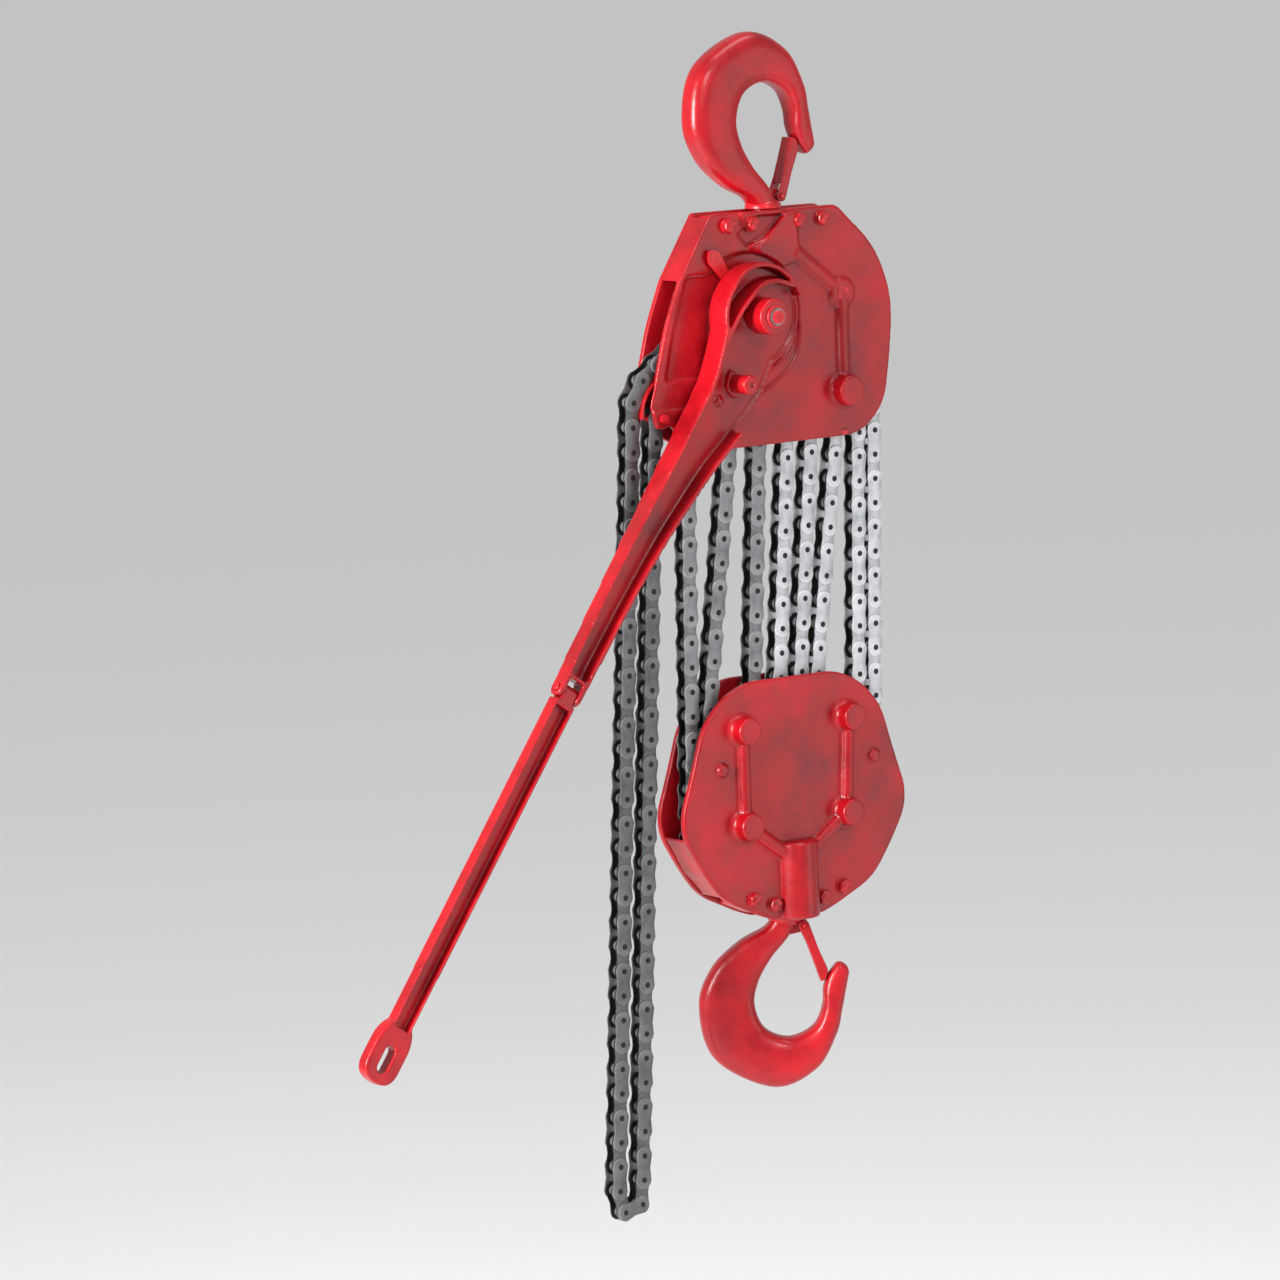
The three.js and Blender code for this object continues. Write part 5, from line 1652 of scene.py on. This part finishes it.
    def slack(self, load: Wheel, start: float) -> list[Stretch]:
        """Chain past the load sprocket: over the guide, down, round the loop's turn and up to its anchor.

        Args:
            load: The load sprocket.
            start: Angle at which the chain comes onto it.

        Returns:
            The four stretches.
        """
        guide_x, guide_z = self.guide
        guide_radius = self.guide_radius
        dx, dz = guide_x - load.x, guide_z - load.z
        swing = math.acos((load.radius - guide_radius) / math.hypot(dx, dz))
        leave = math.atan2(dz, dx) - swing + 2 * math.pi
        angle = np.linspace(leave, math.pi, 24)
        over = np.stack([guide_x + guide_radius * np.cos(angle), guide_z + guide_radius * np.sin(angle)],
                        axis=1)
        lead_end = np.array([[self.slack_x, guide_z - self.pitch]])
        lead = np.concatenate([load.arc(start, leave), over, lead_end])
        radius = (self.anchor[0] - self.slack_x) / 2
        turn_x = self.slack_x + radius - self.slack_drift
        turn_z = self.bottom + radius + self.plate_radius
        turn_angle = np.linspace(math.pi, 2 * math.pi, 30)
        turn = np.stack([turn_x + radius * np.cos(turn_angle), turn_z + radius * np.sin(turn_angle)], axis=1)
        down, up = np.array([lead_end[0], turn[0]]), np.array([turn[-1], self.anchor])
        dark = Finishes.DARK_CHAIN
        return [
            Stretch("lead_over_guide", lead, ("upper_block",), dark, "lead_chain"),
            Stretch("slack_down", down, ("upper_block", "slack_loop"), dark, "slack_chain"),
            Stretch("slack_turn", turn, ("slack_loop",), dark, "slack_chain"),
            Stretch("slack_up", up, ("slack_loop", "upper_block"), dark, "slack_chain"),
        ]

    def plate_shell(self, inside: float, outside: float) -> Shell:
        """One link plate: a figure-eight outline with a chamfer on its outer face.

        The outline's half-height is the plate radius at each pin and eases to the waist between them.

        Args:
            inside: Y of the face towards the rollers.
            outside: Y of the other face.

        Returns:
            A closed shell of three rings.
        """
        turn = np.linspace(-0.62 * math.pi, 0.62 * math.pi, 9)
        right = np.stack([self.pitch + self.plate_radius * np.cos(turn), self.plate_radius * np.sin(turn)],
                         axis=1)
        waist_top = np.array([[self.pitch / 2, self.waist]])
        left = np.array([self.pitch, 0]) - right
        loop = np.concatenate([right, waist_top, left, -waist_top + [self.pitch, 0]])
        step = math.copysign(self.chamfer, outside - inside)
        small = inset_outline(loop, 0.8)
        rings = []
        for outline, y in ((loop, inside), (loop, outside - step), (small, outside)):
            rings.append(np.stack([outline[:, 0], np.full(len(loop), y), outline[:, 1]], axis=1))
        return tube(np.array(rings))

    def link(self, outer: bool) -> Shell:
        """Template link from its first pin at the origin along +X.

        Args:
            outer: Whether it is an outer link, with pin heads, or an inner one, with rollers.

        Returns:
            The link, one pitch long.
        """
        y = self.outer_y if outer else self.inner_y
        shells = [self.plate_shell(y, y + self.plate), self.plate_shell(-y, -y - self.plate)]
        for x in (0.0, self.pitch):
            if outer:
                buried, end, radius = y + self.plate - 0.3, self.pin_end, self.pin_radius
                head = [(0, buried), (radius, buried), (radius, end - 0.35), (radius - 0.9, end), (0, end)]
                for side in (-1, 1):
                    shells.append(turned([(r, side * depth) for r, depth in head], x, 0.0, 12))
            else:
                half = self.inner_y - 0.05
                shells.append(turned([(0, half), (self.roller_radius, half), (self.roller_radius, -half),
                                      (0, -half)], x, 0.0, 14))
        return joined(shells)

    def build(self) -> None:
        """Strings links along the route and gives each stretch its own piece.

        The route is cut into an even number of equal steps of about a pitch, so inner and outer links take
        turns. A link belongs to the stretch that holds its middle.
        """
        stretches = self.stretches()
        points = np.concatenate([stretch.line for stretch in stretches])
        along = self._distances(points)
        count = int(round(along[-1] / self.pitch / 2)) * 2
        marks = np.linspace(0, along[-1], count + 1)
        pins = np.stack([np.interp(marks, along, points[:, axis]) for axis in (0, 1)], axis=1)
        ends = np.cumsum([0.0] + [float(self._distances(stretch.line)[-1]) for stretch in stretches])
        middle = (marks[:-1] + marks[1:]) / 2
        which = np.clip(np.searchsorted(ends, middle, side="right") - 1, 0, len(stretches) - 1)
        direction = np.diff(pins, axis=0)
        length = np.linalg.norm(direction, axis=1)
        direction /= length[:, None]
        templates = (self.link(False), self.link(True))
        for index, stretch in enumerate(stretches):
            shells = []
            for kind, template in enumerate(templates):
                chosen = np.nonzero((which == index) & (np.arange(count) % 2 == kind))[0]
                if len(chosen):
                    shells.append(self._strung(template, pins[chosen], direction[chosen], length[chosen]))
            if shells:
                self._dress(mesh_object(f"chain_{stretch.name}", joined(shells), 35), stretch)

    @staticmethod
    def _distances(points: np.ndarray) -> np.ndarray:
        """Distance of each point of a line from its start, along the line."""
        return np.concatenate([[0], np.cumsum(np.linalg.norm(np.diff(points, axis=0), axis=1))])

    def _strung(self, template: Shell, start: np.ndarray, direction: np.ndarray,
                length: np.ndarray) -> Shell:
        """Copies a template link to many places at once.

        A point (x, y, z) goes to start + direction * x * stretch + normal * z, with its own y.

        Args:
            template: The link.
            start: First pin of each copy, (N, 2) in X and Z.
            direction: Unit vector to its second pin, (N, 2).
            length: Distance to its second pin, (N,).

        Returns:
            One shell of all the copies.
        """
        local = template.points
        x = local[None, :, 0] * (length / self.pitch)[:, None]
        z = local[None, :, 2]
        world_x = start[:, :1] + direction[:, :1] * x - direction[:, 1:] * z
        world_z = start[:, 1:] + direction[:, 1:] * x + direction[:, :1] * z
        y = np.broadcast_to(local[None, :, 1], world_x.shape)
        points = np.stack([world_x, y, world_z], axis=-1).reshape(-1, 3)
        size = len(local)
        faces = [[i + k * size for i in face] for k in range(len(start)) for face in template.faces]
        return Shell(points, faces)

    def _dress(self, obj: bpy.types.Object, stretch: Stretch) -> None:
        """Gives a stretch its finish and, if it has one body, that body; hides the CAD node that it stands
        for.

        A fall between two bodies stays on no body, its place baked into its mesh.

        Args:
            obj: The stretch's piece.
            stretch: The stretch.
        """
        obj.data.materials.append(self.shop.materials[stretch.finish])
        if len(stretch.bodies) == 1:
            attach(obj, stretch.bodies[0])
        else:
            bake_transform(obj)
        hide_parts(stretch.node)
        LOG.info("%s: %d faces", obj.name, len(obj.data.polygons))


# ---- studio --------------------------------------------------------------------------------------


@dataclass
class Studio:
    """Pale floor, soft light and the camera."""

    azimuth: float = -35.4
    elevation: float = 7.5
    distance: float = 7.0
    frame_width: float = 1.331
    roll: float = 2.0
    aim: tuple[float, float, float] = (-0.1160, 0.0824, -0.574)
    floor_height: float = -1.8
    floor_half: float = 300.0
    sensor: float = 36.0
    hoist_middle: tuple[float, float, float] = (0.0, 0.0, -0.6)
    world_strength: float = 0.6

    def camera(self) -> None:
        """Long lens at the viewing angle."""
        az, el = math.radians(self.azimuth), math.radians(self.elevation)
        back = Vector((math.sin(az) * math.cos(el), -math.cos(az) * math.cos(el), math.sin(el)))
        data = bpy.data.cameras.new("camera")
        data.sensor_width = self.sensor
        data.lens = self.sensor * self.distance / self.frame_width
        data.clip_end = 1000.0
        camera = bpy.data.objects.new("camera", data)
        turn = back.to_track_quat("Z", "Y").to_matrix().to_4x4()
        camera.matrix_world = (Matrix.Translation(Vector(self.aim) + back * self.distance) @ turn
                               @ Matrix.Rotation(math.radians(-self.roll), 4, "Z"))
        bpy.context.collection.objects.link(camera)
        bpy.context.scene.camera = camera

    def light(self, name: str, place: tuple[float, float, float], size: tuple[float, float],
              power: float) -> None:
        """Soft box aimed at the middle of the hoist.

        Args:
            name: The lamp's name.
            place: Where it stands, in metres.
            size: Its width and height in metres.
            power: Its power in watts.
        """
        data = bpy.data.lights.new(name, "AREA")
        data.shape = "RECTANGLE"
        data.size, data.size_y = size
        data.energy = power
        lamp = bpy.data.objects.new(name, data)
        aim = Vector(place) - Vector(self.hoist_middle)
        lamp.matrix_world = Matrix.Translation(place) @ aim.to_track_quat("Z", "Y").to_matrix().to_4x4()
        bpy.context.collection.objects.link(lamp)

    def build(self) -> None:
        """Sets floor, world, lights and camera."""
        corners = np.array([(-1, -1, 0), (1, -1, 0), (1, 1, 0), (-1, 1, 0)]) * self.floor_half / MM
        floor = mesh_object("floor", Shell(corners + (0, 0, self.floor_height / MM), [[0, 1, 2, 3]]))
        material = bpy.data.materials.new("pale_floor")
        material.use_nodes = True
        shader = material.node_tree.nodes["Principled BSDF"]
        shader.inputs["Base Color"].default_value = (0.9, 0.9, 0.9, 1)
        shader.inputs["Roughness"].default_value = 0.9
        floor.data.materials.append(material)
        world = bpy.data.worlds.new("studio")
        world.use_nodes = True
        world.node_tree.nodes["Background"].inputs["Color"].default_value = (1, 1, 1, 1)
        world.node_tree.nodes["Background"].inputs["Strength"].default_value = self.world_strength
        bpy.context.scene.world = world
        bpy.context.scene.view_settings.view_transform = "Standard"
        self.light("right_softbox", (2.1, -2.8, -0.7), (1.8, 2.4), 22)
        self.light("left_key", (-3.0, -0.4, 0.1), (0.7, 1.2), 210)
        self.light("front_key", (-0.5, -3.4, 1.3), (0.9, 0.9), 42)
        self.light("top_softbox", (0.4, -0.8, 2.4), (1.6, 1.0), 35)
        self.camera()


# ---- assembly ------------------------------------------------------------------------------------


def dress_cad_nodes(shop: Workshop) -> None:
    """Gives every CAD node that stays its finish, by the record's material slot.

    Args:
        shop: The frame and the materials.
    """
    finish_of = {"red_paint": Finishes.ENAMEL, "oiled_steel": Finishes.STEEL,
                 "chain_steel": Finishes.LIT_CHAIN, "slack_chain_steel": Finishes.DARK_CHAIN}
    painted = {"holding_pawl", "holding_pawl_pin", "upper_latch_pin", "lower_latch_pin",
               "slack_anchor_pin", "dead_end_pin"}
    for row in shop.frame["record"]["subparts"]:
        node = shop.frame["nodes"][row["node"]]
        finish = Finishes.ENAMEL if row["node"] in painted else finish_of[row["material_slot"]]
        node.data.materials.clear()
        node.data.materials.append(shop.materials[finish])


def main() -> None:
    """Builds every sub-assembly around the frame."""
    logging.basicConfig(level=logging.INFO, format="%(name)s %(message)s")
    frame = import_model()
    groups = {"grain": grain_group(), "tone": tone_group(), "edge": edge_group(),
              "grease": grease_and_shade_group()}
    shop = Workshop(frame, {finish: finish.value.material(groups) for finish in Finishes})
    Studio().build()
    dress_cad_nodes(shop)
    lower_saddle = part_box("lower_hook")[0][2] / MM + HOOK_CROWN
    Hook(shop, "upper", "top_hook", "upper_latch", np.eye(4)).build()
    Hook(shop, "lower", "lower_hook", "lower_latch", hanging(LOWER_HOOK_TURN, lower_saddle)).build()
    UpperBlock(shop).build()
    LowerBlock(shop).build()
    Lever(shop).build()
    RollerChain(shop).build()
    bpy.context.view_layer.update()


if __name__ == "__main__":
    main()
